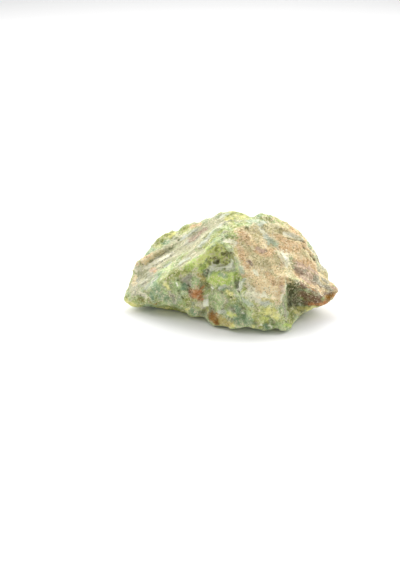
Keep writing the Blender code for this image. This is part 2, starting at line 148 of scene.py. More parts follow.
def copy_of_solid(node, name):
    """A copy of a plain solid with its loose triangles joined."""
    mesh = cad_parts[node].data.copy()
    mesh.materials.clear()
    joined = bmesh.new()
    joined.from_mesh(mesh)
    bmesh.ops.remove_doubles(joined, verts=joined.verts, dist=WELD)
    joined.to_mesh(mesh)
    joined.free()
    piece = bpy.data.objects.new(name, mesh)
    bpy.context.scene.collection.objects.link(piece)
    return piece


def bake_modifiers(piece):
    """Turns what the modifiers show into the piece's own mesh."""
    bpy.context.view_layer.update()
    graph = bpy.context.evaluated_depsgraph_get()
    baked = bpy.data.meshes.new_from_object(piece.evaluated_get(graph))
    piece.modifiers.clear()
    piece.data = baked


stone = copy_of_solid("opal_stone", "opal")
remesh = stone.modifiers.new("even_skin", "REMESH")
remesh.mode = "VOXEL"
remesh.voxel_size = SKIN_STEP
bake_modifiers(stone)
print("the skin has", len(stone.data.polygons), "squares")

# %% [markdown]
# Reading and writing all points at once with numpy is much faster than going through them one by
# one. Relaxing moves each point part of the way to the middle of its neighbours.

# %% Relax the skin
RELAX_ROUNDS = 7
RELAX_SHARE = 0.5


def read_points(mesh):
    points = np.empty(len(mesh.vertices) * 3, np.float32)
    mesh.vertices.foreach_get("co", points)
    return points.reshape(-1, 3).astype(float)


def write_points(mesh, points):
    mesh.vertices.foreach_set("co", points.astype(np.float32).ravel())
    mesh.update()


def read_normals(mesh):
    normals = np.empty(len(mesh.vertices) * 3, np.float32)
    mesh.vertices.foreach_get("normal", normals)
    return normals.reshape(-1, 3).astype(float)


def middle_of_neighbours(mesh, values):
    """For each point, the mean of a value (one or three numbers) over the points it is joined to."""
    ends = np.empty(len(mesh.edges) * 2, np.int32)
    mesh.edges.foreach_get("vertices", ends)
    first, second = ends.reshape(-1, 2).T
    amount = len(mesh.vertices)
    count = np.bincount(first, minlength=amount) + np.bincount(second, minlength=amount)
    sums = np.stack([np.bincount(first, column[second], amount) + np.bincount(second, column[first], amount)
                     for column in np.atleast_2d(values.T)], axis=-1)
    return (sums / count[:, None]).reshape(values.shape)


def relax(mesh, rounds, share):
    points = read_points(mesh)
    for _ in range(rounds):
        points += (middle_of_neighbours(mesh, points) - points) * share
    write_points(mesh, points)


relax(stone.data, RELAX_ROUNDS, RELAX_SHARE)
print("relaxed, the skin is", round(read_points(stone.data)[:, 2].max() / MM, 2), "mm high")

# %% [markdown]
# ## Finding a place on the stone
#
# A spot is easiest to give as one would point at it: from a side, so many millimetres to the right of
# the middle and so many up. A needle pushed in there meets the skin at the spot. Each side is an
# azimuth and an elevation, and azimuth 0 is the front. A stroke is a line of such spots with a width.
#
# Smooth noise shakes the strokes, so that nothing has a ruled edge. Blender's noise vectors start from
# the clock unless they are given a seed, so the seed is set first: the stone must be the same each time.

# %% Places and strokes
SIDES = {"front": (0, 25), "right": (90, 25), "back": (180, 25), "left": (270, 25), "top": (0, 90),
         "under": (0, -90)}
NEEDLE = 200 * MM
NEAR_ROUNDS = 4
STROKE_PEAK, STROKE_FALL = 1.3, 0.8
SLOW_SIZE, QUICK_SIZE = 3.2, 0.9
WANDER_SEED = 4
skin_tree = BVHTree.FromObject(stone, bpy.context.evaluated_depsgraph_get())


def spot(side, across, up):
    """The point of the skin, in metres, that a needle meets or, past the rim, comes nearest to."""
    azimuth, elevation = (math.radians(angle) for angle in SIDES[side])
    right = Vector((math.cos(azimuth), math.sin(azimuth), 0))
    sight = Vector((-math.sin(azimuth) * math.cos(elevation), math.cos(azimuth) * math.cos(elevation),
                    -math.sin(elevation)))
    aim = right * across * MM + right.cross(sight) * up * MM
    met = skin_tree.ray_cast(aim - sight * NEEDLE, sight)[0]
    for _ in range(NEAR_ROUNDS if met is None else 0):
        met = skin_tree.find_nearest(aim)[0]
        aim += sight * (met - aim).dot(sight)
    return np.array(met)


def gap_to_line(points, corners):
    """The distance of each point from a line through the corners."""
    gap = np.linalg.norm(points - corners[0], axis=1)
    for start, end in zip(corners, corners[1:]):
        along = end - start
        share = np.clip((points - start) @ along / max(along @ along, 1e-12), 0, 1)
        gap = np.minimum(gap, np.linalg.norm(points - start - share[:, None] * along, axis=1))
    return gap


def nearness(points, side, width, places):
    """1 in the middle of a stroke, one half at its half width, and 0 a little further out."""
    corners = [spot(side, across, up) for across, up in places]
    return np.clip(STROKE_PEAK - STROKE_FALL * gap_to_line(points, corners) / (width * MM), 0, 1)


noise.seed_set(WANDER_SEED)


def wander(points, size):
    """Smooth random steps, at most about one long, that change over that size in millimetres."""
    return np.array([noise.noise_vector(Vector(point) / (size * MM)) for point in points])


skin = read_points(stone.data)
slow_wander = wander(skin, SLOW_SIZE)
quick_wander = wander(skin, QUICK_SIZE)
print("the middle of the front is at", tuple(round(c / MM, 1) for c in spot("front", 0, 12)), "mm")

# %% [markdown]
# ## Where each mineral lies
#
# The colours of the stone are patches, bands and streaks of different minerals. Each mineral gets a
# mask, a number from 0 to 1 at every point of the skin, drawn with strokes. The points are shaken
# by smooth noise before the strokes are measured, so no patch has a round outline. The masks are
# stored on the mesh as attributes that the material reads, and they steer the relief too.
#
# One mask, clear, is no mineral. It marks fresh waxy opal, which has few chips and no grains or flecks.

# %% The strokes of the front: half width and places, in millimetres, for each mineral
STROKES = {
    "front": {
        "milk": [
            (3.0, [(-29.5, 8), (-27, 11.4), (-22, 14.9), (-16, 18.4), (-10, 22), (-4, 27.5)]),
            (2.2, [(-22, 18.5), (-15, 22), (-8, 26), (-2, 29)]), (1.2, [(-12.5, 15.2), (-8, 18.6)]),
            (1.3, [(-31, 5.5), (-30, 9.5)]), (2.2, [(-20, 16.2), (-15.4, 18.6), (-10.6, 20.4)]),
            (1.2, [(-13, 15.6), (-9, 18.4)]),
        ],
        "haze": [
            (1.2, [(-30.4, 5.5), (-29.2, 9)]), (1.5, [(-23.5, 15.2), (-18.5, 16.8)]),
            (1.5, [(-14, 20.4), (-10.8, 22)]), (1.0, [(-9, 19), (-6.6, 21.6)]),
            (1.3, [(-27.2, 8), (-24.6, 11.4)]), (1.1, [(-4, 26), (-1, 27.4)]),
            (0.9, [(2.2, 27.9), (4.6, 28)]), (0.9, [(-14.4, 8.8), (-12.2, 10)]),
            (1.2, [(25.4, 18.4), (27.4, 15), (29.4, 11.6)]), (0.9, [(-18.2, 4.6), (-17.6, 2)]),
            (1.2, [(7.6, 26.8), (11.6, 27.6)]), (1.1, [(12, 22.6), (14.6, 20.6)]),
            (0.9, [(0.2, 0.6), (2.6, 0)]),
        ],
        "meadow": [
            (1.3, [(-23.2, 20.8), (-20.8, 22.8), (-18, 24.2)]), (1.3, [(-15.6, 25), (-13.6, 25.6)]),
            (1.5, [(-0.6, 29.8), (2, 29.4), (5, 28.4)]),
            (1.4, [(-19.8, 9.6), (-17.4, 10.4), (-14.4, 12.4)]),
            (1.3, [(-32.4, 2.2), (-30.4, 1.4), (-28.6, 1.2)]), (0.9, [(-25.4, 1), (-19, 0.6)]),
            (1.4, [(6.4, 2), (7.8, -1.4), (9.4, -4.6)]), (1.5, [(-6.6, 17), (-5.4, 18.6), (-2.4, 18.4)]),
            (1.3, [(20.6, -0.4), (21.6, -2.6)]), (1.2, [(-2, 5.8), (-0.6, 5.2)]),
            (1.2, [(-9.6, 0.8), (-7.4, 0)]), (1.2, [(11, 0.6), (13.6, -1)]),
            (1.3, [(8.4, 1), (10.4, -0.6)]), (1.2, [(14, 27.4), (17, 25.8)]),
            (1.2, [(22.6, 19.2), (24.2, 17.4)]), (1.1, [(-2.8, -3.6), (0, -4.8), (2.4, -5.8)]),
        ],
        "mint": [
            (1.1, [(-21.4, 12), (-19.4, 14)]), (1.1, [(-17.2, 8), (-15.6, 6.4)]),
            (1.1, [(-22.4, 6.4), (-20.4, 5.4)]), (1.1, [(-13.6, -0.8), (-11, -2)]),
            (1.2, [(-4.6, 4.6), (-3, 2), (-4, 0.4)]), (1.1, [(2.6, 5), (3.6, 3)]),
            (1.0, [(9.8, 2.6), (12.2, 2)]), (1.2, [(10.8, -4), (12.2, -6)]),
            (1.1, [(13.2, -4.6), (16, -5.6)]), (1.1, [(1.4, 14), (2, 12.4)]),
            (1.2, [(-2.6, 8.4), (0.6, 8.2)]), (1.1, [(-11.4, 9.6), (-10.4, 8.4)]),
        ],
        "moss": [
            (1.4, [(0.4, 26.8), (2.2, 25.2), (1.4, 23.8)]),
            (1.0, [(-8.4, 19.4), (-5.4, 22.4), (-2.4, 24.8)]), (1.2, [(-18.8, 10.6), (-16.6, 11.2)]),
            (1.1, [(-29.2, 2.4), (-27.6, 2.8)]), (1.2, [(-14, 3.6), (-12.8, 1.6)]),
            (1.0, [(3.6, 10), (5.2, 10.6)]), (1.0, [(19, 9.4), (20.6, 8)]),
            (1.5, [(19, 0.8), (18.6, -4)]), (1.0, [(-13.6, 13.2), (-11.4, 12)]),
            (1.1, [(-0.4, 4), (0.8, 2.8)]), (0.9, [(9.4, -2), (10.6, -2.6)]),
            (1.5, [(8.6, 29.4), (11.4, 29), (14, 27.4)]), (0.9, [(-23.8, 2.6), (-22.6, 2)]),
        ],
        "apple": [
            (1.3, [(-13, 13.6), (-10.6, 14.6), (-9.2, 15.6)]),
            (1.9, [(-5.4, 9.6), (-2.4, 9.4), (0.6, 10)]), (1.0, [(-7.4, 19), (-6.2, 18.4)]),
            (1.0, [(16.8, -4.6), (18.6, -5.2)]), (0.9, [(-9.6, 12.2), (-8.6, 13.4)]),
        ],
        "lime": [
            (1.0, [(-10.2, 14.2), (-7.6, 16.8), (-5, 18.9), (-3.2, 19.8), (-2, 18.6)]),
            (1.4, [(-3.4, 15), (-0.6, 15.4)]), (1.1, [(-6.8, 16.6), (-6.2, 15.2)]),
            (1.3, [(-4.6, 17.2), (-2, 17.4)]), (0.9, [(-7.2, 14), (-5.6, 14)]),
            (0.8, [(9.6, -2.6), (11, -3.6)]), (0.7, [(-0.8, -1), (1, -1.6)]),
            (1.1, [(-10.4, 14), (-9, 14.8)]),
        ],
        "teal": [
            (1.2, [(-2.8, 6.8), (-1, 6.2)]), (0.9, [(-12.4, -0.4), (-11, -1.2)]),
            (0.9, [(1, 1.4), (2.4, -0.8)]), (1.5, [(-22.4, 10.6), (-24, 8.4), (-23.4, 5.4)]),
            (1.1, [(-22, 4.4), (-19.8, 3.4)]), (0.9, [(-21, 21.2), (-19.8, 21.8)]),
            (0.9, [(-7.6, 11.8), (-6.6, 11.2)]), (1.3, [(3.6, -2), (5.4, -3.2)]),
            (1.0, [(0.8, -2.8), (2.2, -3.6)]), (0.9, [(13, 21.2), (14.4, 20.6)]),
            (1.5, [(8.8, 29.2), (12.6, 28)]), (1.2, [(6.8, 26.6), (9.6, 27), (12, 27.2)]),
            (0.8, [(-15, 6.4), (-14, 7.4)]), (0.8, [(-25, 5.2), (-24.4, 3.4)]),
            (0.8, [(10.6, -4.8), (11.4, -5.6)]), (0.8, [(-3.6, 10.8), (-2.2, 10.6)]),
            (0.7, [(20.4, 7.4), (19.4, 6.2)]),
        ],
        "olive": [
            (1.1, [(-8.6, 9.4), (-7.2, 8)]), (0.6, [(-5.4, 15.8), (-4.6, 15.4)]),
            (0.7, [(-1.6, 17.2), (0.4, 17.4)]), (0.7, [(-28.6, 3.2), (-27.4, 3)]),
            (0.6, [(15.2, 26.6), (16.4, 25.4)]), (0.8, [(24.2, 19), (25.4, 17.6)]),
            (0.6, [(12, -2), (12.8, -2)]), (1.1, [(9.8, 28.8), (12.6, 28.4)]),
            (0.8, [(-12.2, 6.6), (-12.4, 4.6)]), (0.7, [(0.2, 16.2), (0.8, 14.8)]),
            (0.6, [(7.2, 1), (7.6, -0.2)]), (0.6, [(-25.8, 3.2), (-24.8, 2)]),
            (0.6, [(18, 2), (17.8, 0)]),
        ],
        "dusk": [
            (2.0, [(18.6, 7.6), (19.2, 4.8), (20, 2.8)]), (1.6, [(20.8, 6.4), (22.6, 4.6)]),
            (1.0, [(17.8, 3.4), (18.6, 1.6)]), (0.9, [(21.6, 2.6), (23.4, 2)]),
            (1.1, [(19.8, 8.8), (22.2, 7.4)]),
        ],
        "umber": [
            (2.0, [(22.8, 4.8), (25, 3.8), (28, 2.8)]), (1.4, [(22.2, 7.8), (25.6, 6), (29, 4.2)]),
            (1.3, [(23.8, 2.2), (27, 1.8), (30.4, 1.8)]), (0.9, [(-12.6, 5.8), (-12, 3.8)]),
            (0.7, [(24.6, 5.4), (27.4, 4.2)]),
        ],
        "crust": [
            (3.2, [(5.4, 22.4), (5.8, 17.6), (6.4, 12.6), (8, 8), (8.8, 5.8)]),
            (3.2, [(10.4, 21.4), (10.8, 15), (11.8, 9), (12.8, 5.4)]),
            (2.9, [(16.4, 22.6), (15.6, 16), (15.2, 10)]),
            (2.8, [(20.4, 22.8), (21.6, 18.4), (22.6, 14.4), (26, 12)]),
            (1.7, [(19.4, 25.2), (22.6, 22.8), (24.4, 20)]),
            (2.2, [(20.6, 11.2), (24.6, 9), (28.8, 6.8), (32.4, 5.8)]), (1.3, [(2.6, 24.4), (8, 24.6)]),
            (0.9, [(30.4, 3.6), (31.4, 2.6)]),
        ],
        "khaki": [
            (1.5, [(3.2, 25), (6, 25.2), (8.6, 24.2)]), (1.2, [(7.6, 22.8), (9, 21.6)]),
            (1.1, [(3.8, 20.6), (5.4, 19)]), (1.7, [(7, 18.2), (8, 15), (10.8, 13.6)]),
            (1.2, [(18.6, 13.2), (19.8, 10.6)]), (1.2, [(20.6, 18.8), (23.8, 17.6)]),
            (1.1, [(5.8, 8.8), (6.4, 6.6)]), (1.0, [(13.4, 25.6), (16.2, 24.4)]),
            (1.5, [(25.8, 18.6), (27.8, 15.6), (29.8, 12.2), (31, 9.6)]),
            (0.9, [(13.6, 16.6), (14.4, 14.8)]), (1.2, [(-27.6, 15.4), (-24.6, 16.8), (-21.6, 18.4)]),
            (0.8, [(12.4, 11.6), (13.6, 10.6)]),
        ],
        "peach": [
            (0.9, [(-30.2, 10), (-30.2, 8)]), (0.6, [(-27.4, 15), (-24.6, 16.6)]),
            (2.2, [(9.4, 8.4), (12.8, 5.4)]), (1.2, [(5.4, 12.8), (6.6, 10.8)]),
            (1.4, [(14, 12.4), (14.6, 9.8)]), (1.1, [(8.2, 6.6), (10.2, 4.8)]),
            (1.2, [(17.6, 18.8), (20, 16.4)]), (1.1, [(11.4, 19.6), (10, 20.8)]),
            (1.3, [(18, 22), (21.4, 20.6)]), (1.0, [(28.6, 11), (26.6, 12.8)]),
        ],
        "orange": [
            (0.8, [(-29.5, 14.5)]), (0.5, [(-27.6, 15.8), (-24.6, 17.2)]),
            (0.9, [(18.8, 26.8), (22, 24.9), (24.2, 22.8)]), (0.8, [(-12.2, 26.4), (-9.6, 26.9)]),
            (1.1, [(3.4, 23.8), (5, 22)]), (1.2, [(2.4, 19), (3.6, 17)]),
            (1.2, [(8.2, 18.4), (10.8, 17.2), (12.6, 18.2)]), (0.9, [(4, 15.8), (4.8, 13.4)]),
            (1.3, [(15.8, 22.4), (18, 21)]), (1.2, [(19.8, 20.6), (21.8, 19.6)]),
            (1.5, [(20.4, 15), (24, 14.6), (27, 13)]), (1.1, [(20.4, 11), (25, 7.6), (28.6, 5.4)]),
            (1.1, [(15, 8.8), (15.8, 5.4)]), (1.0, [(11.6, 10.4), (13, 8)]),
            (0.8, [(22, 24), (23.8, 22)]), (0.8, [(3, 12.4), (3.6, 10.8)]),
            (0.7, [(-24.8, 12.8), (-23.6, 12)]),
        ],
        "cream": [
            # the first cream stroke, the lip under the left slab, is partly its own colour and partly painted
            # light over the ledge's shade
            (0.9, [(-30, 12.4), (-26.6, 13.8), (-23, 15.2), (-19.6, 17)]),
            (0.7, [(-1.8, 21.4), (1.2, 20.6)]), (1.7, [(15.8, 17.6), (17.2, 15)]),
            (1.1, [(4.8, 5.2), (7, 3.8), (9.2, 2.4)]), (1.0, [(9.8, 4.6), (11.4, 2.4)]),
            (0.8, [(17, 23.8), (20, 23), (22.6, 22.2)]), (0.8, [(-28.6, 5.4), (-27, 4.6)]),
            (1.0, [(5.6, 6.6), (8, 5.2)]), (0.3, [(17, 9), (16.4, 6), (15.2, 3.2)]),
            (0.8, [(11.2, 23.4), (9.8, 25)]), (0.7, [(7, 12.4), (7.6, 11)]),
            (0.9, [(-9.4, 1.6), (-8.8, 0.6)]), (0.7, [(27.2, 17), (26.6, 18)]),
        ],
        "mauve": [
            (1.3, [(-12.2, 21.8), (-9.6, 23.8), (-7.8, 25)]),
            (2.1, [(21.8, 12.2), (24.2, 10), (27.2, 8.4)]), (1.2, [(27.6, 8.2), (30.4, 6.8)]),
            (0.7, [(29.6, 4.9), (31.4, 4.7)]), (0.8, [(-9.6, 3.6), (-8.8, 2.8)]),
            (0.5, [(9.6, 17.6), (10.8, 18.4)]), (0.5, [(5.4, 15), (6.2, 14)]),
        ],
        "ash": [
            (1.2, [(26.6, 9.4), (29, 7.6), (31.2, 6.6)]), (0.8, [(23, 12.6), (24, 11.4)]),
            (0.7, [(29, 9.8), (30.6, 8.6)]), (0.8, [(26.4, 18.4), (28, 15.8), (30, 12.4)]),
            (0.6, [(-13, 8.2), (-12.4, 7.6)]), (0.7, [(2.4, 7), (2.2, 6.2)]),
            (0.8, [(16.2, 1.8), (16.4, -1.4)]),
        ],
        "pink": [
            (0.9, [(32.6, 6.9), (33.9, 5.8)]), (0.8, [(24, 11.4), (25.4, 10)]),
            (1.0, [(21, 14), (24.4, 13), (27, 11.2)]), (0.8, [(21.8, 10.4), (24.8, 8.2)]),
            (0.8, [(-25, 12.2), (-23.6, 13)]), (0.8, [(8.6, 19), (9.8, 18.2)]),
            (0.7, [(15.6, 7), (16, 5.6)]),
        ],
        "honey": [
            (1.5, [(-5.8, -2.2), (-4.4, -3.6)]), (1.1, [(30.2, 3.0), (32.0, 4.0)]),
            (0.5, [(23.6, 7.2), (26.4, 5.6)]), (0.5, [(-24.2, 1.6), (-23.4, 1.8)]),
            (0.6, [(27, 1.4), (29.8, 1.4)]),
        ],
        "amber": [
            (1.2, [(-3, -3.2), (-1.6, -4), (-0.2, -4.4)]), (0.9, [(-8.2, 9.8), (-9.4, 10.8)]),
            (0.7, [(1.2, 18.8), (1.8, 16.6)]), (0.7, [(10, 3.2), (12.4, 2.6)]),
        ],
        "sea": [
            (1.2, [(12, 22), (14.2, 20.4)]), (0.8, [(5.6, 27.6), (8.4, 28)]),
            (0.9, [(3.8, 3), (5.6, 1.6)]), (0.7, [(2.8, 12.8), (3.4, 11.4)]),
        ],
        "rust": [
            (2.0, [(-10.6, 5.2), (-9.2, 5.6)]), (1.1, [(-9.8, 3.8), (-9, 3)]),
            (0.7, [(24.6, 1.9), (28.4, 1.7)]), (0.9, [(29.4, 2), (31.6, 2.9), (33, 4.4)]),
        ],
        "blue_white": [
            (0.55, [(-9.6, 20), (-6.5, 23.5), (-3.2, 26.4)]),
            (0.6, [(-15.4, 22.2), (-12.5, 24), (-10.4, 25.2)]), (0.7, [(-15.6, 14.4), (-13, 15.8)]),
            (0.5, [(-20.6, 13.4), (-18.6, 14.6)]), (0.6, [(-3.4, 6.8), (-1.6, 7.6)]),
            (0.6, [(-2.8, 29.2), (-0.8, 30.2)]), (0.9, [(10.8, 23), (12.8, 21.8)]),
            (0.6, [(3.6, 9.2), (2.8, 6.2)]), (0.5, [(-26.5, 6.6), (-23, 10)]),
            (0.6, [(-4, -0.8), (-2, -0.6)]), (0.6, [(9.6, 2.2), (11.2, 2)]),
            (0.6, [(9.2, 26.6), (10.8, 27.4)]), (0.5, [(3, 4.6), (3.8, 2.4)]),
        ],
        "yellow": [
            (0.5, [(1.4, 29.6), (3.8, 29.3)]), (1.5, [(11, -0.4), (13.4, -1.8)]),
            (0.8, [(21.6, 0.2), (24.6, 0), (26.2, 0.4)]), (0.9, [(-32.2, 2), (-30.8, 1.2)]),
            (0.6, [(-20.6, 8), (-19.4, 7)]), (0.6, [(-18.8, 23.4), (-18, 24)]),
            (0.8, [(-1.2, 5.8), (-0.2, 5)]), (0.8, [(0.4, -5), (2.6, -6)]),
            (0.8, [(20, -0.8), (21.6, -2.2)]), (0.6, [(-23.6, 0.6), (-19.4, 0.4)]),
            (0.6, [(6.8, -5.2), (8.2, -6)]), (0.6, [(-1.4, 28.4), (0.8, 28.6)]),
            (0.5, [(-14, -0.2), (-13, 0.2)]),
        ],
        "clear": [
            (1.2, [(-22.4, 9.6), (-24, 7.4)]), (1.0, [(4, -1.8), (5.6, -3.2)]),
            (1.1, [(-2.6, 8), (0.6, 7.6)]), (1.0, [(-15, 1.6), (-13.6, 2.6)]),
            (1.0, [(-17.4, 8), (-15.6, 6.4)]), (0.9, [(-2, 4), (-1, 2)]),
            (1.2, [(-10.4, 14.2), (-8, 16.8)]), (1.0, [(18.8, -3.6), (18.4, -5.2)]),
            (2.6, [(-5, 9.6), (-2, 9.6), (1.2, 10)]), (0.8, [(1.4, 14.2), (2, 12.6)]),
            (1.4, [(-5, 12.9), (0, 13.3)]), (2.0, [(18.6, 7.6), (19.4, 3.4)]),
            (1.7, [(22.2, 5), (25, 3.4), (29, 2.6)]), (1.2, [(-11, 5.2), (-9.8, 6)]),
            (1.1, [(-5.8, -2.4), (-4.4, -3.6)]),
        ],
        "white": [
            # the first white stroke is the block's pale top facet: partly its own colour, partly painted
            # light where the bay's roof shades it
            (1.4, [(-5.4, 13), (-3, 13.1), (0.2, 13.5)]), (0.35, [(16, 17.2), (17, 15.8)]),
            (0.8, [(2.6, 8.8), (2.1, 7.2)]), (0.3, [(-17, 8.2), (-16.5, 7.6)]),
            (0.5, [(-18.8, -0.5), (-18.2, -0.7)]), (0.3, [(9.1, -4.4), (9.5, -4.7)]),
            (0.4, [(11.9, -4.7), (12.5, -5.3)]), (0.4, [(7, -6.6), (10, -7.3)]),
            (0.3, [(-6, 6.8), (-5.6, 6.4)]), (0.3, [(21.6, 1.6), (21.9, 1.5)]),
            (0.3, [(3.4, -0.9), (3.9, -1)]),
        ],
    },
}
print("the front has", sum(map(len, STROKES["front"].values())), "strokes")

# %% [markdown]
# The other sides get fewer and broader strokes of the same minerals, so that the stone reads as one
# piece from wherever it is seen.

# %% The strokes of the other sides
STROKES.update({
    "top": {
        "crust": [(2.8, [(15, 2), (20, 4), (25, 3)]), (2.2, [(28, 1), (31, 0)])],
        "khaki": [(1.6, [(18, 9), (21, 8)])],
        "orange": [(1.6, [(20, 8), (24, 6)])],
        "haze": [(2.4, [(-22, 12), (-14, 14)]), (2, [(-4, 12), (0, 11)])],
        "moss": [(2.4, [(4, 12), (10, 12)]), (2, [(9, 8), (13, 9)])],
        "teal": [(2, [(-8, 14), (-3, 14)])],
        "olive": [(1.6, [(14, 13), (18, 11)])],
    },
    "back": {
        "crust": [
            (3, [(-14, 17), (-19, 14)]), (2.6, [(-22, 11), (-27, 7)]), (2.2, [(-14, 10), (-19, 7)]),
        ],
        "khaki": [(1.8, [(-11, 18), (-16, 15)]), (1.4, [(-20, 9), (-24, 8)])],
        "orange": [(1.5, [(-17, 14), (-20, 12)]), (1.2, [(-26, 6), (-29, 5)])],
        "cream": [(0.7, [(-8, 16), (-13, 13), (-20, 10)])],
        "moss": [(3, [(-5, 15), (0, 11), (3, 6)]), (2.2, [(15, 9), (20, 7)]), (2, [(-8, 4), (-14, 3)])],
        "teal": [
            (2.6, [(8, 14), (12, 9), (10, 5)]), (1.8, [(-22, 4), (-17, 4)]), (1.6, [(25, 3), (28, 2)]),
        ],
        "olive": [(1.8, [(12, 12), (15, 10)]), (2.2, [(4, 3), (10, 2)]), (1.6, [(-3, 18), (2, 17)])],
        "milk": [(2.2, [(20, 8), (25, 6), (28, 4)])],
        "umber": [(1.8, [(-12, 7), (-8, 6)]), (1.2, [(15, 5), (18, 4)])],
        "apple": [(1.6, [(5, 12), (7, 9)])],
        "honey": [(1.3, [(1, 14), (3, 15)])],
        "rust": [(1.1, [(-6, 9.6), (-5, 8.6)])],
        "mauve": [(1.4, [(19, 10), (23, 8)])],
        "blue_white": [(0.5, [(-4, 19), (3, 14), (6, 12), (13, 4)])],
        "lime": [(1, [(18, 5), (21, 4)])],
        "dusk": [(1.2, [(-1, 7), (0, 5)])],
    },
    "right": {
        "crust": [(3.2, [(-3, 20), (2, 17), (6, 12)]), (2, [(-8, 10), (-10, 6)])],
        "khaki": [(1.6, [(3, 21), (7, 17)])],
        "orange": [(1.4, [(0, 13), (3, 9)])],
        "moss": [(2.2, [(10, 14), (12, 8)])],
        "teal": [(1.8, [(8, 6), (4, 3)])],
        "umber": [(1.6, [(-2, 4), (2, 2.4)])],
        "olive": [(1.6, [(13, 5), (15, 3)])],
    },
    "left": {
        "milk": [(2.4, [(6, 8), (2, 12), (-2, 15)])],
        "moss": [(2.2, [(-12, 9), (-14, 5)])],
        "teal": [(1.8, [(-8, 4), (-10, 3)])],
    },
    "under": {
        "moss": [(4, [(-20, 0), (-8, 4)]), (3, [(16, 6), (22, 2)])],
        "olive": [(3, [(-4, -6), (4, -2)])],
        "teal": [(3, [(6, 8), (14, -6)]), (2, [(-26, 2), (-22, -4)])],
        "umber": [(2, [(22, -4), (28, 0)])],
        "haze": [(3, [(-14, -6), (-2, 10)])],
        "crust": [(3, [(10, 2), (18, -2)])],
        "honey": [(1.6, [(-6, 2), (-4, 6)])],
    },
})
print("all sides together have", sum(len(s) for side in STROKES.values() for s in side.values()), "strokes")

# %% Draw the masks
SHAKE_SLOW = 0.8
SHAKE_QUICK = 0.6
WIDEST_SHAKE = 2.0


def store(mesh, name, values):
    """Keeps one number for each point of the mesh under a name that materials and node trees can read."""
    attribute = mesh.attributes.get(name) or mesh.attributes.new(name, "FLOAT", "POINT")
    attribute.data.foreach_set("value", values.astype(np.float32))


def mask_of(mineral):
    """How strongly a mineral covers each point of the skin, from 0 to 1."""
    mask = np.zeros(len(skin))
    shake = slow_wander * SHAKE_SLOW + quick_wander * SHAKE_QUICK
    for side, strokes in STROKES.items():
        for width, places in strokes.get(mineral, []):
            shaken = skin + shake * min(width, WIDEST_SHAKE) * MM
            mask = np.maximum(mask, nearness(shaken, side, width, places))
    return mask


masks = {mineral: mask_of(mineral) for mineral in STROKES["front"]}
for mineral, mask in masks.items():
    store(stone.data, mineral, mask)
    print(f"{mineral} covers {100 * np.mean(mask > 0.5):.0f} % of the skin")

# %% [markdown]
# ## Relief by hand
#
# Some features are too particular to leave to a pattern: the deep little hollow with a white lining at
# the edge of the crust, the gas holes in the green, the cracks under the flakes. Each is a stroke
# that sinks into the skin, or stands out of it where its depth is below zero.
#
# Holes sink along the skin's own normals. In a hollow those normals meet, and pushing out along them
# would pinch a sharp ridge, so what stands out is moved one way instead: forward and up.

# %% Holes, cracks and flakes
CARVED = [
    # name, half width, depth, places seen from the front
    ("white_lined_hollow", 0.6, 0.75, [(1.8, 8.6), (1.7, 7.2)]),
    ("hollow_mouth", 0.28, 0.7, [(2.3, 9.7), (2.3, 9.6)]),
    ("bay_hole", 0.4, 0.4, [(-5.2, 14.5), (-4.2, 14.9)]),
    ("bay_corner_hole", 0.4, 0.6, [(-7.2, 12.4), (-6.5, 11.6)]),
    ("bay_pit", 0.3, 0.35, [(-6.4, 15.7), (-6.2, 15.7)]),
    ("bay_roof_gap", 0.45, 0.5, [(-2.5, 17.3), (-0.2, 17.4)]),
    ("block_side_gap", 0.3, 0.4, [(-6.9, 12.6), (-7.3, 11.2)]),
    ("green_pit_a", 0.3, 0.5, [(-0.2, 3.9), (0.1, 3.8)]),
    ("green_pit_b", 0.25, 0.4, [(-16.4, 9.1), (-16.3, 9.1)]),
    ("green_pit_c", 0.2, 0.3, [(-17.6, 11.3), (-17.5, 11.3)]),
    ("green_pit_d", 0.25, 0.4, [(-16.3, 5.9), (-16.2, 5.8)]),
    ("green_pit_e", 0.2, 0.35, [(-13.4, 7.6), (-12.7, 7.1)]),
    ("green_pit_f", 0.2, 0.4, [(-15.2, 4.0), (-14.7, 3.4)]),
    ("green_pit_g", 0.2, 0.4, [(-13.6, 1.6), (-13.6, 1.4)]),
    ("crust_hollow_crack", 0.2, 0.35, [(2.2, 5.6), (3.1, 3.8), (3.5, 1.9)]),
    ("top_flake_crack", 0.18, 0.28, [(18.0, 22.4), (20.4, 21.8), (22.6, 21.6), (24.0, 20.8), (24.8, 19.6)]),
    ("rim_crevice", 0.25, 0.6, [(25.2, 17.2), (25.9, 16.2), (26.7, 15.4)]),
    ("rim_hole", 0.3, 0.4, [(23.2, 19.4), (23.4, 19.2)]),
    ("side_pit_a", 0.25, 0.3, [(16.6, 1.4), (16.8, 0.4)]),
    ("side_pit_b", 0.25, 0.35, [(17.0, -3.6), (17.1, -3.7)]),
    ("bottom_flake", 0.5, -0.35, [(-18.9, -0.4), (-18.1, -0.6)]),
    ("bay_floor", 2.0, -0.8, [(-5.2, 17.2), (-2.2, 17.4)]),
    ("bay_knob", 0.9, -0.6, [(-6.2, 15.8), (-5.6, 15.2)]),
    ("bay_shelf", 0.8, -0.5, [(-2.6, 15), (-0.8, 15.2)]),
    ("bay_foot", 1.3, -1.3, [(-5.2, 13.4), (-2.8, 13.6), (-0.2, 13.9)]),
    ("slope_groove", 2.6, -0.35, [(-28.4, 13.6), (-24, 16), (-19, 18.8), (-15.6, 20.6)]),
]


def smooth(values):
    """Eases a number between 0 and 1 in and out."""
    return values * values * (3 - 2 * values)


def rising(values, gain, start):
    """Eases in from 0 to 1 as the values grow: a higher gain is steeper, a higher start comes later."""
    return smooth(np.clip(values * gain - start, 0, 1))


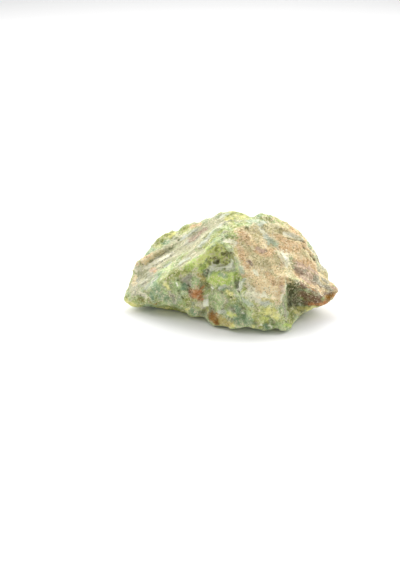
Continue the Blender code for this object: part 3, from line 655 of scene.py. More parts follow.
normals = read_normals(stone.data)
forward_and_up = np.array((0, -math.cos(CAMERA_TILT), math.sin(CAMERA_TILT)))
push = np.zeros_like(skin)
hole = np.zeros(len(skin))
for name, width, depth, places in CARVED:
    shaken = skin + quick_wander * SHAKE_QUICK * width * MM
    near = smooth(nearness(shaken, "front", width, places))
    push -= near[:, None] * depth * (normals if depth > 0 else forward_and_up)
    hole = np.maximum(hole, near * (depth > 0))
# the mask of the sunk strokes is used later for painted shade in the holes
store(stone.data, "hole", hole * (1 - masks["white"]))
skin = skin + push * MM
write_points(stone.data, skin)
print("the skin was moved by up to", round(np.linalg.norm(push, axis=1).max(), 2), "mm")

# %% [markdown]
# ## Relief by rule
#
# The rest of the broken skin follows rules, so a Geometry Nodes tree makes it. Opal breaks in shallow
# shells that meet in sharp little ridges: the square of the distance to the nearest of many scattered
# points gives just that, a bowl around each point. The long left slope broke along thin layers, like
# roof tiles. The crust is a mat of sand grains. And gas has left round pits. The tree adds the heights,
# weights each with its mask, and moves every point along its normal. It also keeps each cell's random
# number, so that the colours can follow the chips.

# %% Small helpers for node trees
def feed(tree, value, socket):
    """Links a socket into a socket, or sets a plain value on it."""
    if isinstance(value, bpy.types.NodeSocket):
        tree.links.new(value, socket)
    else:
        socket.default_value = value


def add(tree, kind, inputs=None, **settings):
    """Adds a node, sets its options and feeds its inputs."""
    made = tree.nodes.new(kind)
    for name, value in settings.items():
        setattr(made, name, value)
    for key, value in (inputs or {}).items():
        feed(tree, value, made.inputs[key])
    return made


def calc(tree, operation, *values):
    return add(tree, "ShaderNodeMath", dict(enumerate(values)), operation=operation).outputs[0]


def vector_calc(tree, operation, *values):
    made = add(tree, "ShaderNodeVectorMath", dict(enumerate(values)), operation=operation)
    return made.outputs["Value" if operation == "DOT_PRODUCT" else "Vector"]


def stretch(tree, value, low, high):
    """Maps low..high to 0..1 with soft ends and no overshoot."""
    ends = {"Value": value, "From Min": low, "From Max": high}
    return add(tree, "ShaderNodeMapRange", ends, interpolation_type="SMOOTHSTEP").outputs[0]


def scaled(tree, vector, amount):
    made = add(tree, "ShaderNodeVectorMath", {"Vector": vector, "Scale": amount}, operation="SCALE")
    return made.outputs["Vector"]


def named(tree, attribute):
    node = add(tree, "GeometryNodeInputNamedAttribute", {"Name": attribute}, data_type="FLOAT")
    return node.outputs["Attribute"]


def keep(tree, geometry, name, value, domain="POINT"):
    node = add(tree, "GeometryNodeStoreNamedAttribute", {"Geometry": geometry, "Name": name, "Value": value},
               data_type="FLOAT", domain=domain)
    return node.outputs["Geometry"]


def new_tree(name, kind, inputs, outputs):
    """A node group with named sockets; gives the tree, its inputs by name and its output node."""
    tree = bpy.data.node_groups.new(name, kind)
    for label, socket, default in inputs:
        made = tree.interface.new_socket(label, in_out="INPUT", socket_type=socket)
        if default is not None:
            made.default_value = default
    for label, socket in outputs:
        tree.interface.new_socket(label, in_out="OUTPUT", socket_type=socket)
    return tree, tree.nodes.new("NodeGroupInput").outputs, tree.nodes.new("NodeGroupOutput")


# %% Heights that follow rules
LAYER_ACROSS = (0.42, -0.72, -0.55)
LAYER_WAVE = 1.6
WAVES_PER_METRE = 110.0
MEAN_BOWL = 0.3
PIT_FLOOR_SHARE = 0.45
CELL_MIDDLE = (0.5, 0.5, 0.5)


def chip_shells(tree, place, size, hollow, lean):
    """Shallow bowls that meet in ridges and lean a little; gives their height and random number."""
    cells = add(tree, "ShaderNodeTexVoronoi", {"Vector": place, "Scale": calc(tree, "DIVIDE", 1.0, size)})
    away = calc(tree, "SUBTRACT", calc(tree, "POWER", cells.outputs["Distance"], 2.0), MEAN_BOWL)
    bowl = calc(tree, "MULTIPLY", away, calc(tree, "MULTIPLY", size, hollow))
    across = vector_calc(tree, "SUBTRACT", place, cells.outputs["Position"])
    way = vector_calc(tree, "SUBTRACT", cells.outputs["Color"], CELL_MIDDLE)
    leaning = calc(tree, "MULTIPLY", vector_calc(tree, "DOT_PRODUCT", across, way), lean)
    tone = add(tree, "ShaderNodeSeparateXYZ", {0: cells.outputs["Color"]}).outputs[1]
    return calc(tree, "ADD", bowl, leaning), tone


def layer_steps(tree, place, gap, step):
    """Overlapping layers: the height climbs across each one and drops at its edge."""
    waves = {"Vector": place, "Scale": WAVES_PER_METRE, "Detail": 1.0}
    wave = add(tree, "ShaderNodeTexNoise", waves).outputs[0]
    across = vector_calc(tree, "DOT_PRODUCT", place, LAYER_ACROSS)
    bent = calc(tree, "ADD", calc(tree, "DIVIDE", across, gap), calc(tree, "MULTIPLY", wave, LAYER_WAVE))
    return calc(tree, "MULTIPLY", calc(tree, "FRACT", bent), step)


def round_pits(tree, place, gap, size, depth):
    """Round holes where a cell's middle happens to lie near the skin; gives height and mask."""
    cells = add(tree, "ShaderNodeTexVoronoi", {"Vector": place, "Scale": calc(tree, "DIVIDE", 1.0, gap)})
    away = calc(tree, "MULTIPLY", cells.outputs["Distance"], gap)
    mask = stretch(tree, away, size, calc(tree, "MULTIPLY", size, PIT_FLOOR_SHARE))
    return calc(tree, "MULTIPLY", mask, calc(tree, "MULTIPLY", depth, -1.0)), mask


# %% [markdown]
# The tree's own inputs are its sizes, in metres, and a seed that shifts every pattern. The chips come in
# three sizes on top of each other, and a slow noise bends them, so that no ridge is straight.

# %% The relief tree
VALUE = "NodeSocketFloat"
SEED_WAY = (1.0, 0.7, 0.4)
BENDS_PER_METRE = 450.0
BEND_REACH = 0.9 * MM
CHIP_SHARES = (1.0, 0.45, 0.2)

relief, given, out = new_tree(
    "opal_relief", "GeometryNodeTree",
    [("Geometry", "NodeSocketGeometry", None), ("Chip Size", VALUE, 3.8 * MM), ("Chip Hollow", VALUE, 0.16),
     ("Chip Lean", VALUE, 0.07), ("Layer Gap", VALUE, 2.6 * MM), ("Layer Step", VALUE, 0.13 * MM),
     ("Grain Size", VALUE, 0.6 * MM), ("Grain Height", VALUE, 0.12 * MM), ("Pit Gap", VALUE, 3.4 * MM),
     ("Pit Size", VALUE, 0.3 * MM), ("Pit Depth", VALUE, 0.35 * MM), ("Seed", VALUE, 0.0),
     ("Material", "NodeSocketMaterial", None)],
    [("Geometry", "NodeSocketGeometry")])
position = relief.nodes.new("GeometryNodeInputPosition").outputs[0]
shift = vector_calc(relief, "ADD", position, scaled(relief, SEED_WAY, given["Seed"]))
bends = {"Vector": shift, "Scale": BENDS_PER_METRE, "Detail": 1.0}
bend = add(relief, "ShaderNodeTexNoise", bends).outputs[1]
bend_way = vector_calc(relief, "SUBTRACT", bend, CELL_MIDDLE)
bent_place = vector_calc(relief, "ADD", shift, scaled(relief, bend_way, BEND_REACH))
sized = [calc(relief, "MULTIPLY", given["Chip Size"], share) for share in CHIP_SHARES]
shells = [chip_shells(relief, bent_place, size, given["Chip Hollow"], given["Chip Lean"]) for size in sized]
chips = calc(relief, "ADD", calc(relief, "ADD", shells[0][0], shells[1][0]), shells[2][0])
layers = layer_steps(relief, shift, given["Layer Gap"], given["Layer Step"])
pits, pit_mask = round_pits(relief, shift, given["Pit Gap"], given["Pit Size"], given["Pit Depth"])
grains_per_metre = calc(relief, "DIVIDE", 1.0, given["Grain Size"])
grains = add(relief, "ShaderNodeTexVoronoi", {"Vector": shift, "Scale": grains_per_metre})
grain_tone = add(relief, "ShaderNodeSeparateXYZ", {0: grains.outputs["Color"]}).outputs[0]
grain_dome = calc(relief, "SUBTRACT", 0.5, grains.outputs["Distance"])
grain_top = calc(relief, "MULTIPLY", grain_dome, given["Grain Height"])

parts = [calc(relief, "MULTIPLY", chips, named(relief, "chipped")),
         calc(relief, "MULTIPLY", layers, named(relief, "layered")),
         calc(relief, "MULTIPLY", pits, named(relief, "chipped")),
         calc(relief, "MULTIPLY", grain_top, named(relief, "grainy"))]
height = parts[0]
for part in parts[1:]:
    height = calc(relief, "ADD", height, part)
normal = relief.nodes.new("GeometryNodeInputNormal").outputs[0]
geometry = keep(relief, given["Geometry"], "chip_tone", shells[1][1])
geometry = keep(relief, geometry, "fine_tone", shells[2][1])
geometry = keep(relief, geometry, "grain_tone", grain_tone)
# the pits' mask is used later for painted shade in the pits
geometry = keep(relief, geometry, "pit", calc(relief, "MULTIPLY", pit_mask, named(relief, "chipped")))
offset = scaled(relief, normal, height)
moved = add(relief, "GeometryNodeSetPosition", {"Geometry": geometry, "Offset": offset})
solid = add(relief, "GeometryNodeRealizeInstances", {"Geometry": moved.outputs[0]})
clad = add(relief, "GeometryNodeSetMaterial", {"Geometry": solid.outputs[0], "Material": given["Material"]})
relief.links.new(clad.outputs[0], out.inputs[0])
print("the relief tree has", len(relief.nodes), "nodes")

# %% [markdown]
# The tree needs to know where each kind of break lies. The flat underside that carries the stone stays
# as it is, the crust is grainy, the milky slope is layered, and all the rest is chipped. A mask on the
# faces that look back darkens their colour later on, as painted shade.

# %% Run the relief
FOOT_HEIGHT = 0.5 * MM
FADE_HEIGHT = 1.2 * MM
# how much of the chips is lost in the crust, on the layers and on clear opal
LOST_IN_CRUST, LOST_ON_LAYERS, LOST_ON_CLEAR = 0.75, 0.7, 0.8
# how many of the splinters are lost on the layers
SPLINTERS_LOST_ON_LAYERS = 0.8

green_opal = bpy.data.materials.new("green_opal")
off_table = np.clip((skin[:, 2] - FOOT_HEIGHT) / FADE_HEIGHT, 0, 1)
clear = masks["clear"]
grainy = rising(masks["crust"], 2, 0.6) * (1 - clear)
layered = rising(masks["milk"], 1.6, 0.4) * (1 - grainy)
chipped = (1 - LOST_IN_CRUST * grainy) * (1 - LOST_ON_LAYERS * layered) * (1 - LOST_ON_CLEAR * clear)
broken = (1 - grainy) * (1 - SPLINTERS_LOST_ON_LAYERS * layered) * (1 - clear)
store(stone.data, "grainy", grainy * off_table)
store(stone.data, "layered", layered * off_table)
store(stone.data, "chipped", chipped * off_table)
# painted shade: the faces that look back get a mask that darkens their colour later on
store(stone.data, "weathered", rising(read_normals(stone.data)[:, 1], 1.6, 0.2))
store(stone.data, "broken", broken * off_table)


def run_tree(piece, tree, **values):
    """Shows a node tree on a piece as a modifier, sets its named inputs, and keeps what it makes."""
    modifier = piece.modifiers.new(tree.name, "NODES")
    modifier.node_group = tree
    sockets = {item.name: item.identifier for item in tree.interface.items_tree if item.in_out == "INPUT"}
    for name, value in values.items():
        modifier[sockets[name.replace("_", " ")]] = value
    bake_modifiers(piece)


run_tree(stone, relief, Material=green_opal, Seed=float(SEED) * MM)
skin = read_points(stone.data)
skin[:, 2] = np.maximum(skin[:, 2], 0)
write_points(stone.data, skin)
stone.data.shade_smooth()
print("the broken skin has", sum(len(f.vertices) - 2 for f in stone.data.polygons), "triangles")

# %% [markdown]
# Thin edges of opal let light through and look pale, and cracks lie in shade; the colour later gets a
# painted highlight on the edges and painted shade in the cracks. Both can be measured: a point on an
# edge stands proud of the middle of its neighbours, a point in a crack lies below it. A few rounds of
# averaging find fine edges, many rounds find broad ones.

# %% Measure edges and cracks
FINE_ROUNDS, FINE_FULL = 3, 0.08
BROAD_ROUNDS, BROAD_FULL = 14, 0.22


def bulge(mesh, rounds, full):
    """How far each point stands out of its surroundings: 0.5 is level, 1 a sharp edge, 0 a crack."""
    points = read_points(mesh)
    middle = points
    for _ in range(rounds):
        middle = middle_of_neighbours(mesh, middle)
    proud = ((points - middle) * read_normals(mesh)).sum(axis=1) / MM
    print(f"over {rounds} rounds the skin stands out by up to {np.percentile(proud, 98):.3f} mm")
    return np.clip(0.5 + 0.5 * proud / full, 0, 1)


store(stone.data, "fine_bulge", bulge(stone.data, FINE_ROUNDS, FINE_FULL))
store(stone.data, "broad_bulge", bulge(stone.data, BROAD_ROUNDS, BROAD_FULL))

# %% [markdown]
# ## Loose grains and splinters
#
# The crust is made of sand grains that stand out of it one by one, and the broken green is strewn with
# tiny splinters that catch the light. A second Geometry Nodes tree strews little faceted balls over a
# skin where a mask says, turns and squeezes each its own way, and sinks it halfway in. A grain keeps the
# masks of the place it lies on, so the stone's own material colours it.

# %% The tree that strews grains
LARGEST_TILT = 0.5
NARROWEST = 0.6

strew, given, out = new_tree(
    "strewn_grains", "GeometryNodeTree",
    [("Geometry", "NodeSocketGeometry", None), ("Where", "NodeSocketString", "grainy"),
     ("Grains per Area", VALUE, 5.0), ("Smallest", VALUE, 0.18 * MM), ("Largest", VALUE, 0.42 * MM),
     ("Flatness", VALUE, 0.7), ("Seed", "NodeSocketInt", SEED), ("Material", "NodeSocketMaterial", None)],
    [("Geometry", "NodeSocketGeometry")])


def chance(tree, low, high, shift, kind="FLOAT"):
    """A random value for each grain, between two bounds."""
    ends = {"FLOAT": (2, 3), "FLOAT_VECTOR": (0, 1)}[kind]
    node = add(tree, "FunctionNodeRandomValue", {ends[0]: low, ends[1]: high}, data_type=kind)
    tree.links.new(calc(tree, "ADD", given["Seed"], shift), node.inputs["Seed"])
    return node.outputs["Value"] if kind == "FLOAT_VECTOR" else node.outputs[1]


per_square_metre = calc(strew, "DIVIDE", given["Grains per Area"], MM * MM)
density = calc(strew, "MULTIPLY", named(strew, given["Where"]), per_square_metre)
places = add(strew, "GeometryNodeDistributePointsOnFaces", {"Mesh": given["Geometry"], "Density": density,
                                                           "Seed": given["Seed"]})
ball = add(strew, "GeometryNodeMeshIcoSphere", {"Radius": 0.5, "Subdivisions": 1})
turn = chance(strew, (-LARGEST_TILT, -LARGEST_TILT, 0.0), (LARGEST_TILT, LARGEST_TILT, math.tau), 1,
              "FLOAT_VECTOR")
turned = add(strew, "FunctionNodeRotateRotation", {0: places.outputs["Rotation"], 1: turn},
             rotation_space="LOCAL")
size = chance(strew, given["Smallest"], given["Largest"], 2)
width = chance(strew, NARROWEST, 1.0, 3)
squeeze = add(strew, "ShaderNodeCombineXYZ", {0: 1.0, 1: width, 2: given["Flatness"]}).outputs[0]
grown = add(strew, "GeometryNodeInstanceOnPoints", {
    "Points": places.outputs["Points"], "Instance": ball.outputs["Mesh"], "Rotation": turned.outputs[0],
    "Scale": scaled(strew, squeeze, size)})
toned = keep(strew, grown.outputs[0], "grain_tone", chance(strew, 0.0, 1.0, 4), "INSTANCE")
toned = keep(strew, toned, "fine_tone", chance(strew, 0.0, 1.0, 5), "INSTANCE")
realized = add(strew, "GeometryNodeRealizeInstances", {"Geometry": toned})
clad = add(strew, "GeometryNodeSetMaterial", {"Geometry": realized.outputs[0], "Material": given["Material"]})
strew.links.new(clad.outputs[0], out.inputs[0])
print("the tree that strews grains has", len(strew.nodes), "nodes")

# %% Strew the crust and the break
def strewn(name, **values):
    """A piece of grains strewn over a copy of the stone's skin."""
    piece = bpy.data.objects.new(name, stone.data.copy())
    bpy.context.scene.collection.objects.link(piece)
    run_tree(piece, strew, Material=green_opal, **values)
    piece.data.materials.clear()
    piece.data.materials.append(green_opal)
    piece.data.polygons.foreach_set("material_index", [0] * len(piece.data.polygons))
    print(name, "has", sum(len(face.vertices) - 2 for face in piece.data.polygons), "triangles")
    return piece


crust_grains = strewn("crust_grains")
splinters = strewn("splinters", Where="broken", Grains_per_Area=0.5, Smallest=0.25 * MM, Largest=0.75 * MM,
                   Flatness=0.35, Seed=SEED + 1)

# %% [markdown]
# One chip is larger: a little cream-white square that sticks to the green under the rust-coloured spot.

# %% The square chip
CHIP_SIZE = Vector((1.7, 1.1, 2.3)) * MM
CHIP_EDGE = 0.14 * MM
CHIP_TURN = (math.radians(-56), math.radians(-18), math.radians(-16))
CHIP_SPOT = (-7.6, 2.1)
CHIP_OUT = Vector((0, -0.8, 0.45)) * MM

# the relief has moved the skin, so the needle needs the new one
skin_tree = BVHTree.FromObject(stone, bpy.context.evaluated_depsgraph_get())
chip_place = Vector(spot("front", *CHIP_SPOT)) + CHIP_OUT

block = bmesh.new()
bmesh.ops.create_cube(block, size=1.0, matrix=Matrix.LocRotScale(chip_place, Euler(CHIP_TURN), CHIP_SIZE))
bmesh.ops.bevel(block, geom=block.edges[:], offset=CHIP_EDGE, segments=2, affect="EDGES")
chip_mesh = bpy.data.meshes.new("square_chip")
block.to_mesh(chip_mesh)
block.free()
chip_marks = {"cream": 1.0, "white": 1.0, "clear": 1.0, "grain_tone": 0.9, "fine_bulge": 0.5,
              "broad_bulge": 0.5}
for mark, value in chip_marks.items():
    store(chip_mesh, mark, np.full(len(chip_mesh.vertices), value))
square_chip = bpy.data.objects.new("square_chip", chip_mesh)
bpy.context.scene.collection.objects.link(square_chip)
chip_mesh.materials.append(green_opal)
print("the square chip is", [round(side / MM, 2) for side in CHIP_SIZE], "mm large")

# %% [markdown]
# ## Colour
#
# Every mineral is mottled in the same way, between a dark, a middle and a light tone, with an edge that
# crumbles into its neighbours. One shader node group makes the patterns once, and a second one lays a
# mineral over what is under it. The material then lays them one after the other, as a painter
# would, with each mineral's own tones.

# %% The shared patterns
patterns, given, out = new_tree(
    "opal_patterns", "ShaderNodeTree",
    [("Vector", "NodeSocketVector", None), ("Patch Size", VALUE, 3.0 * MM), ("Streak Size", VALUE, 1.1 * MM),
     ("Speck Size", VALUE, 0.42 * MM), ("Fleck Gap", VALUE, 0.6 * MM)],
    [("Patches", VALUE), ("Streaks", VALUE), ("Specks", VALUE), ("Veins", VALUE), ("Light Flecks", VALUE),
     ("Dark Flecks", VALUE)])

NOISE_LOW, NOISE_HIGH = 0.34, 0.66
VEIN_SOFT_EDGE, VEIN_CORE = 0.035, 0.005
FLECK_WARP = 0.5 * MM


def noise_value(tree, vector, size, detail, distortion):
    """Smooth noise of one size, spread over the whole range from 0 to 1."""
    inputs = {"Vector": vector, "Scale": calc(tree, "DIVIDE", 1.0, size), "Detail": detail,
              "Distortion": distortion}
    return stretch(tree, add(tree, "ShaderNodeTexNoise", inputs).outputs[0], NOISE_LOW, NOISE_HIGH)


patches = noise_value(patterns, given["Vector"], given["Patch Size"], 2.0, 0.5)
streaks = noise_value(patterns, given["Vector"], given["Streak Size"], 2.0, 1.2)
specks = noise_value(patterns, given["Vector"], given["Speck Size"], 1.0, 0.3)
line = add(patterns, "ShaderNodeTexNoise", {"Vector": given["Vector"], "Detail": 1.0, "Distortion": 0.8,
                                            "Scale": calc(patterns, "DIVIDE", 0.8, given["Streak Size"])})
beside = calc(patterns, "ABSOLUTE", calc(patterns, "SUBTRACT", line.outputs[0], 0.5))
veins = stretch(patterns, beside, VEIN_SOFT_EDGE, VEIN_CORE)

# flecks: a few of many small cells, light or dark by their random number, smaller than their cell
warped = vector_calc(patterns, "ADD", given["Vector"], scaled(patterns, line.outputs[1], FLECK_WARP))
flecks_per_metre = calc(patterns, "DIVIDE", 1.0, given["Fleck Gap"])
fleck_cells = add(patterns, "ShaderNodeTexVoronoi", {"Vector": warped, "Scale": flecks_per_metre})
fleck_chance = add(patterns, "ShaderNodeSeparateXYZ", {0: fleck_cells.outputs["Color"]}).outputs
fleck_body = stretch(patterns, fleck_cells.outputs["Distance"], 0.55, 0.3)
light_flecks = calc(patterns, "MULTIPLY", fleck_body, stretch(patterns, fleck_chance[0], 0.80, 0.9))
dark_flecks = calc(patterns, "MULTIPLY", fleck_body, stretch(patterns, fleck_chance[1], 0.88, 0.94))
for name, value in (("Patches", patches), ("Streaks", streaks), ("Specks", specks), ("Veins", veins),
                    ("Light Flecks", light_flecks), ("Dark Flecks", dark_flecks)):
    patterns.links.new(value, out.inputs[name])
print("the shared patterns are", [socket.name for socket in out.inputs if socket.name])

# %% One mineral over another
COLOR = "NodeSocketColor"
mineral_over, given, out = new_tree(
    "mineral_over", "ShaderNodeTree",
    [("Under", COLOR, None), ("Mask", VALUE, 0.0), ("Dark", COLOR, None), ("Middle", COLOR, None),
     ("Light", COLOR, None), ("Mottle", VALUE, 0.5), ("Speck", VALUE, 0.5), ("Speck Share", VALUE, 0.4),
     ("Crumble", VALUE, 0.5), ("Softness", VALUE, 0.12)],
    [("Color", COLOR)])


def mix_colors(tree, share, under, over, blend="MIX"):
    mixed = add(tree, "ShaderNodeMix", {0: share, 6: under, 7: over}, data_type="RGBA", blend_type=blend)
    return mixed.outputs[2]


def mix_values(tree, share, first, second):
    return add(tree, "ShaderNodeMix", {0: share, 2: first, 3: second}).outputs[0]


tone = mix_values(mineral_over, given["Speck Share"], given["Mottle"], given["Speck"])
dark_half = mix_colors(mineral_over, stretch(mineral_over, tone, 0.1, 0.5), given["Dark"], given["Middle"])
own = mix_colors(mineral_over, stretch(mineral_over, tone, 0.5, 0.9), dark_half, given["Light"])
ragged = calc(mineral_over, "MULTIPLY", calc(mineral_over, "SUBTRACT", tone, 0.5), given["Crumble"])
edge = calc(mineral_over, "ADD", given["Mask"], ragged)
cover = stretch(mineral_over, edge, calc(mineral_over, "SUBTRACT", 0.5, given["Softness"]),
                calc(mineral_over, "ADD", 0.5, given["Softness"]))
mineral_over.links.new(mix_colors(mineral_over, cover, given["Under"], own), out.inputs["Color"])
print("one mineral over another takes", len(mineral_over.nodes), "nodes")

# %% The tones of each mineral
def paint(red, green, blue):
    """A colour as seen on a screen, 0 to 255, in the linear light that shaders count in."""
    levels = [c / 255 for c in (red, green, blue)]
    return tuple(c / 12.92 if c <= 0.04045 else ((c + 0.055) / 1.055) ** 2.4 for c in levels) + (1.0,)


# dark, middle and light tone, speck share, crumble; painted from the first to the last
MINERALS = {
    "milk": ((160, 158, 124), (185, 183, 146), (213, 211, 174), 0.2, 0.5),
    "haze": ((148, 148, 126), (174, 172, 148), (202, 200, 176), 0.2, 0.6),
    "meadow": ((146, 152, 74), (192, 196, 118), (228, 232, 162), 0.22, 0.4),
    "mint": ((136, 158, 104), (184, 204, 140), (224, 236, 184), 0.22, 0.4),
    "moss": ((114, 126, 56), (160, 169, 90), (206, 212, 132), 0.22, 0.4),
    "apple": ((150, 176, 80), (190, 211, 108), (220, 238, 146), 0.22, 0.4),
    "lime": ((200, 210, 108), (224, 232, 136), (242, 246, 172), 0.22, 0.4),
    "teal": ((98, 132, 98), (142, 168, 126), (188, 208, 166), 0.22, 0.4),
    "olive": ((112, 112, 58), (146, 146, 82), (182, 182, 116), 0.3, 0.7),
    "dusk": ((68, 72, 36), (84, 86, 48), (104, 102, 62), 0.2, 0.3),
    "umber": ((108, 82, 60), (128, 98, 72), (148, 118, 92), 0.25, 0.3),
    "crust": ((178, 160, 118), (240, 223, 176), (255, 250, 220), 0.75, 0.9),
    "khaki": ((146, 138, 94), (204, 191, 142), (238, 228, 186), 0.75, 0.9),
    "peach": ((200, 174, 128), (244, 222, 172), (255, 247, 216), 0.75, 0.9),
    "orange": ((164, 130, 86), (220, 187, 140), (250, 230, 190), 0.75, 0.9),
    "cream": ((210, 205, 166), (242, 238, 206), (255, 253, 236), 0.6, 0.8),
    "mauve": ((112, 92, 76), (152, 130, 107), (192, 168, 142), 0.7, 0.8),
    "ash": ((122, 120, 100), (172, 166, 142), (212, 208, 184), 0.7, 0.8),
    "pink": ((168, 140, 118), (206, 178, 152), (232, 208, 184), 0.6, 0.7),
    "honey": ((112, 72, 20), (150, 104, 34), (192, 150, 70), 0.3, 0.5),
    "amber": ((166, 146, 76), (196, 182, 108), (226, 214, 148), 0.4, 0.6),
    "sea": ((150, 166, 138), (190, 203, 169), (220, 227, 199), 0.5, 0.7),
    "rust": ((142, 88, 48), (190, 127, 74), (214, 162, 108), 0.3, 0.5),
    "blue_white": ((176, 182, 156), (200, 205, 182), (222, 225, 206), 0.3, 0.9),
    "yellow": ((214, 208, 120), (236, 232, 148), (250, 246, 184), 0.3, 0.6),
    "white": ((240, 244, 214), (252, 254, 230), (255, 255, 246), 0.4, 0.6),
}
SOFTNESS = 0.45
GRAINY_MINERALS = {"crust", "khaki", "peach", "orange", "cream", "mauve", "ash", "pink"}
STREAKED_MINERALS = {"milk", "haze", "blue_white"}
SAGE = ((122, 138, 70), (172, 183, 110), (214, 222, 152))

# clouds over the whole stone, and clouds over the crust alone: size in mm, shift in metres, share
CLOUDS = {"meadow": (6.0, 0.011, 0.8), "haze": (5.0, 0.023, 0.75), "teal": (4.0, 0.037, 0.65),
          "mint": (3.2, 0.051, 0.7)}
CRUST_CLOUDS = {"khaki": (2.6, 0.091, 0.7), "peach": (3.0, 0.063, 0.75), "orange": (2.2, 0.077, 0.65)}
print("minerals:", ", ".join(MINERALS))

# %% [markdown]
# The material reads the masks as attributes and the patterns in Object coordinates, which stay put when
# the stone is seen from another side. Cloudy patches, streaks and the chips' own random tones are mixed
# into one mottle for the opal, and specks and sand grains into one grit for the crust.

# %% The opal's material
PATCH_SHARE, CHIP_TONE_SHARE, FINE_TONE_SHARE, GRAIN_TONE_SHARE = 0.45, 0.25, 0.4, 0.6
LAYER_SQUEEZE = 0.25
MOTTLE_IN_STREAKS = 0.35

green_opal.use_nodes = True
shade = green_opal.node_tree
surface = shade.nodes["Principled BSDF"]
place = shade.nodes.new("ShaderNodeTexCoord").outputs["Object"]


def attribute(name):
    return add(shade, "ShaderNodeAttribute", attribute_name=name).outputs["Fac"]


def group(tree, inputs):
    made = add(shade, "ShaderNodeGroup", node_tree=tree)
    for name, value in inputs.items():
        feed(shade, value, made.inputs[name])
    return made


pattern = group(patterns, {"Vector": place}).outputs
chip_tone, fine_tone, grain_tone = attribute("chip_tone"), attribute("fine_tone"), attribute("grain_tone")
cloudy = mix_values(shade, PATCH_SHARE, pattern["Streaks"], pattern["Patches"])
mottle = mix_values(shade, CHIP_TONE_SHARE, cloudy, chip_tone)
speck = mix_values(shade, FINE_TONE_SHARE, pattern["Specks"], fine_tone)
grit = mix_values(shade, GRAIN_TONE_SHARE, pattern["Specks"], grain_tone)
flecked = calc(shade, "SUBTRACT", 1.0, attribute("clear"))

# the milky slope is streaked along its layers: its pattern is squeezed across them
across_layers = scaled(shade, LAYER_ACROSS, vector_calc(shade, "DOT_PRODUCT", place, LAYER_ACROSS))
squeezed = vector_calc(shade, "ADD", scaled(shade, place, LAYER_SQUEEZE), across_layers)
streaked = group(patterns, {"Vector": squeezed}).outputs["Streaks"]
long_streaks = mix_values(shade, MOTTLE_IN_STREAKS, streaked, mottle)
print("the stone's mesh carries", len(stone.data.attributes), "attributes")

# %% [markdown]
# The minerals are laid in the order in which they are listed. Four of them also drift over the whole stone
# in soft clouds, and three over the crust, so that no stretch is bare between the strokes.

# %% Lay the minerals
def lay(under, mineral, mask):
    """Lays one mineral over what is there, where its mask says."""
    dark, middle, light, share, crumble = MINERALS[mineral]
    return group(mineral_over, {
        "Under": under, "Mask": mask, "Dark": paint(*dark), "Middle": paint(*middle), "Light": paint(*light),
        "Mottle": long_streaks if mineral in STREAKED_MINERALS else mottle,
        "Speck": grit if mineral in GRAINY_MINERALS else speck,
        "Speck Share": share, "Crumble": crumble, "Softness": SOFTNESS}).outputs[0]


def cloud(size, offset, share):
    """A mask of soft clouds of one size; a smaller share makes them fewer."""
    moved = vector_calc(shade, "ADD", place, (offset, offset, -offset))
    soft = group(patterns, {"Vector": moved, "Patch Size": size * MM}).outputs["Patches"]
    return calc(shade, "MULTIPLY", soft, share)


dark, middle, light = SAGE
color = group(mineral_over, {
    "Under": paint(*middle), "Mask": 1.0, "Dark": paint(*dark), "Middle": paint(*middle),
    "Light": paint(*light), "Mottle": mottle, "Speck": speck}).outputs[0]
for mineral, facts in CLOUDS.items():
    color = lay(color, mineral, cloud(*facts))
for mineral in MINERALS:
    color = lay(color, mineral, attribute(mineral))
    if mineral == "crust":
        for other, facts in CRUST_CLOUDS.items():
            color = lay(color, other, calc(shade, "MINIMUM", attribute("crust"), cloud(*facts)))
print("the material lays", len(MINERALS), "minerals over the sage green")

# %% [markdown]
# Over the minerals lie pale veins and light and dark flecks. Then comes painted light: a painted highlight
# on thin edges that let light through, painted shade in cracks, pits and holes, and painted shade that
# darkens the faces that look back. Clear opal is spared the veins, flecks and cracks.

# %% Veins and flecks, then painted light on edges, cracks, holes and back faces
VEIL_SHARE, VEIL_LOST_WHERE_DRY = 0.35, 0.3
VEIL_TONE = (222, 226, 200)
BACK_SHADE_TONE = (196, 192, 170)

dry = stretch(shade, attribute("crust"), 0.4, 0.6)
veil_share = calc(shade, "SUBTRACT", VEIL_SHARE, calc(shade, "MULTIPLY", dry, VEIL_LOST_WHERE_DRY))
veil = calc(shade, "MULTIPLY", calc(shade, "MULTIPLY", pattern["Veins"], flecked), veil_share)
color = mix_colors(shade, veil, color, paint(*VEIL_TONE))

# where it lies, whether clear opal is spared, share, tone
touches = [
    (pattern["Light Flecks"], True, 0.24, (238, 240, 200)),
    (pattern["Dark Flecks"], True, 0.45, (92, 84, 54)),
    # the last four are painted light: a highlight on proud edges, shade in cracks, and shade in pits and
    # holes
    (stretch(shade, attribute("fine_bulge"), 0.6, 1.0), False, 0.22, (230, 236, 198)),
    (stretch(shade, attribute("fine_bulge"), 0.4, 0.0), True, 0.3, (84, 84, 46)),
    (stretch(shade, attribute("broad_bulge"), 0.35, 0.0), True, 0.25, (96, 92, 50)),
    (calc(shade, "MAXIMUM", attribute("pit"), attribute("hole")), False, 0.5, (74, 76, 46)),
]
for where, spares_clear, share, tint in touches:
    if spares_clear:
        where = calc(shade, "MULTIPLY", where, flecked)
    color = mix_colors(shade, calc(shade, "MULTIPLY", where, share), color, paint(*tint))
# painted shade: the colour of the faces that look back is multiplied darker
color = mix_colors(shade, attribute("weathered"), color, paint(*BACK_SHADE_TONE), "MULTIPLY")
print("over the minerals lie the veil,", len(touches), "small touches and the film")

# %% [markdown]
# Opal is waxy and lets light in a little way, so it has some subsurface scattering and a middling
# roughness. The crust is dry: its roughness is high. A fine bump gives the specks and the grit an edge.

# %% Gloss, bump and depth
WAXY, WAXY_SPREAD, DRY = 0.48, 0.2, 0.9
BUMP_HEIGHT, BUMP_STRENGTH = 0.06 * MM, 0.6

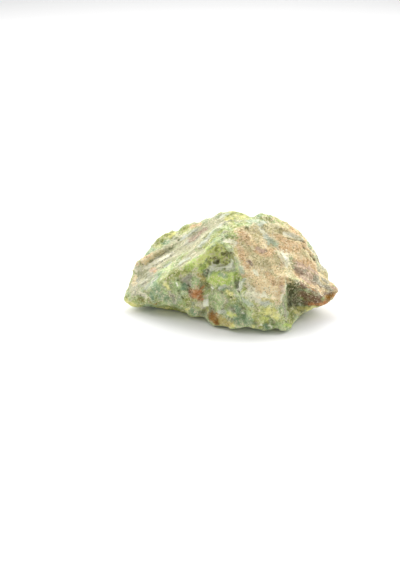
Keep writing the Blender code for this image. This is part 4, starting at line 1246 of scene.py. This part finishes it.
feed(shade, color, surface.inputs["Base Color"])
waxy = calc(shade, "ADD", WAXY, calc(shade, "MULTIPLY", speck, WAXY_SPREAD))
feed(shade, mix_values(shade, dry, waxy, DRY), surface.inputs["Roughness"])
bump = add(shade, "ShaderNodeBump", {"Height": mix_values(shade, dry, speck, grit), "Distance": BUMP_HEIGHT,
                                     "Strength": BUMP_STRENGTH})
feed(shade, bump.outputs[0], surface.inputs["Normal"])
surface.inputs["Subsurface Weight"].default_value = 0.2
surface.inputs["Subsurface Radius"].default_value = (1.0, 1.1, 0.7)
surface.inputs["Subsurface Scale"].default_value = 1.0 * MM
surface.inputs["IOR"].default_value = 1.45
surface.inputs["Specular IOR Level"].default_value = 0.35
print("the finished material has", len(shade.nodes), "nodes")

# %% [markdown]
# ## The table
#
# A plain white table, wide enough to fill the view from any side.

# %% Table
TABLE_HALF = 3.0
TABLE_TONE = (0.95, 0.95, 0.95, 1)
TABLE_ROUGHNESS = 0.9

table_mesh = bpy.data.meshes.new("table")
table_mesh.from_pydata([(-TABLE_HALF, -TABLE_HALF, 0), (TABLE_HALF, -TABLE_HALF, 0),
                        (TABLE_HALF, TABLE_HALF, 0), (-TABLE_HALF, TABLE_HALF, 0)], [], [(0, 1, 2, 3)])
table = bpy.data.objects.new("table", table_mesh)
bpy.context.scene.collection.objects.link(table)
table_white = bpy.data.materials.new("table_white")
table_white.use_nodes = True
table_surface = table_white.node_tree.nodes["Principled BSDF"]
table_surface.inputs["Base Color"].default_value = TABLE_TONE
table_surface.inputs["Roughness"].default_value = TABLE_ROUGHNESS
table_mesh.materials.append(table_white)
table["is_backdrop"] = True
print("the table is", 2 * TABLE_HALF, "m wide")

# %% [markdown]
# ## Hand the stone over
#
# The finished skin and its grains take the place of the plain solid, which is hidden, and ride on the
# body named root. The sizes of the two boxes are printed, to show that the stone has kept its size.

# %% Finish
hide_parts("opal_stone")
for piece in (stone, crust_grains, splinters, square_chip):
    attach(piece, "root")
sizes = {"cad": [list(corner) for corner in cad_box], "visual": [list(corner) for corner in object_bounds()]}
for name, (low_corner, high_corner) in sizes.items():
    print(name, "size in mm:", [round((high - low) / MM, 2) for low, high in zip(low_corner, high_corner)])
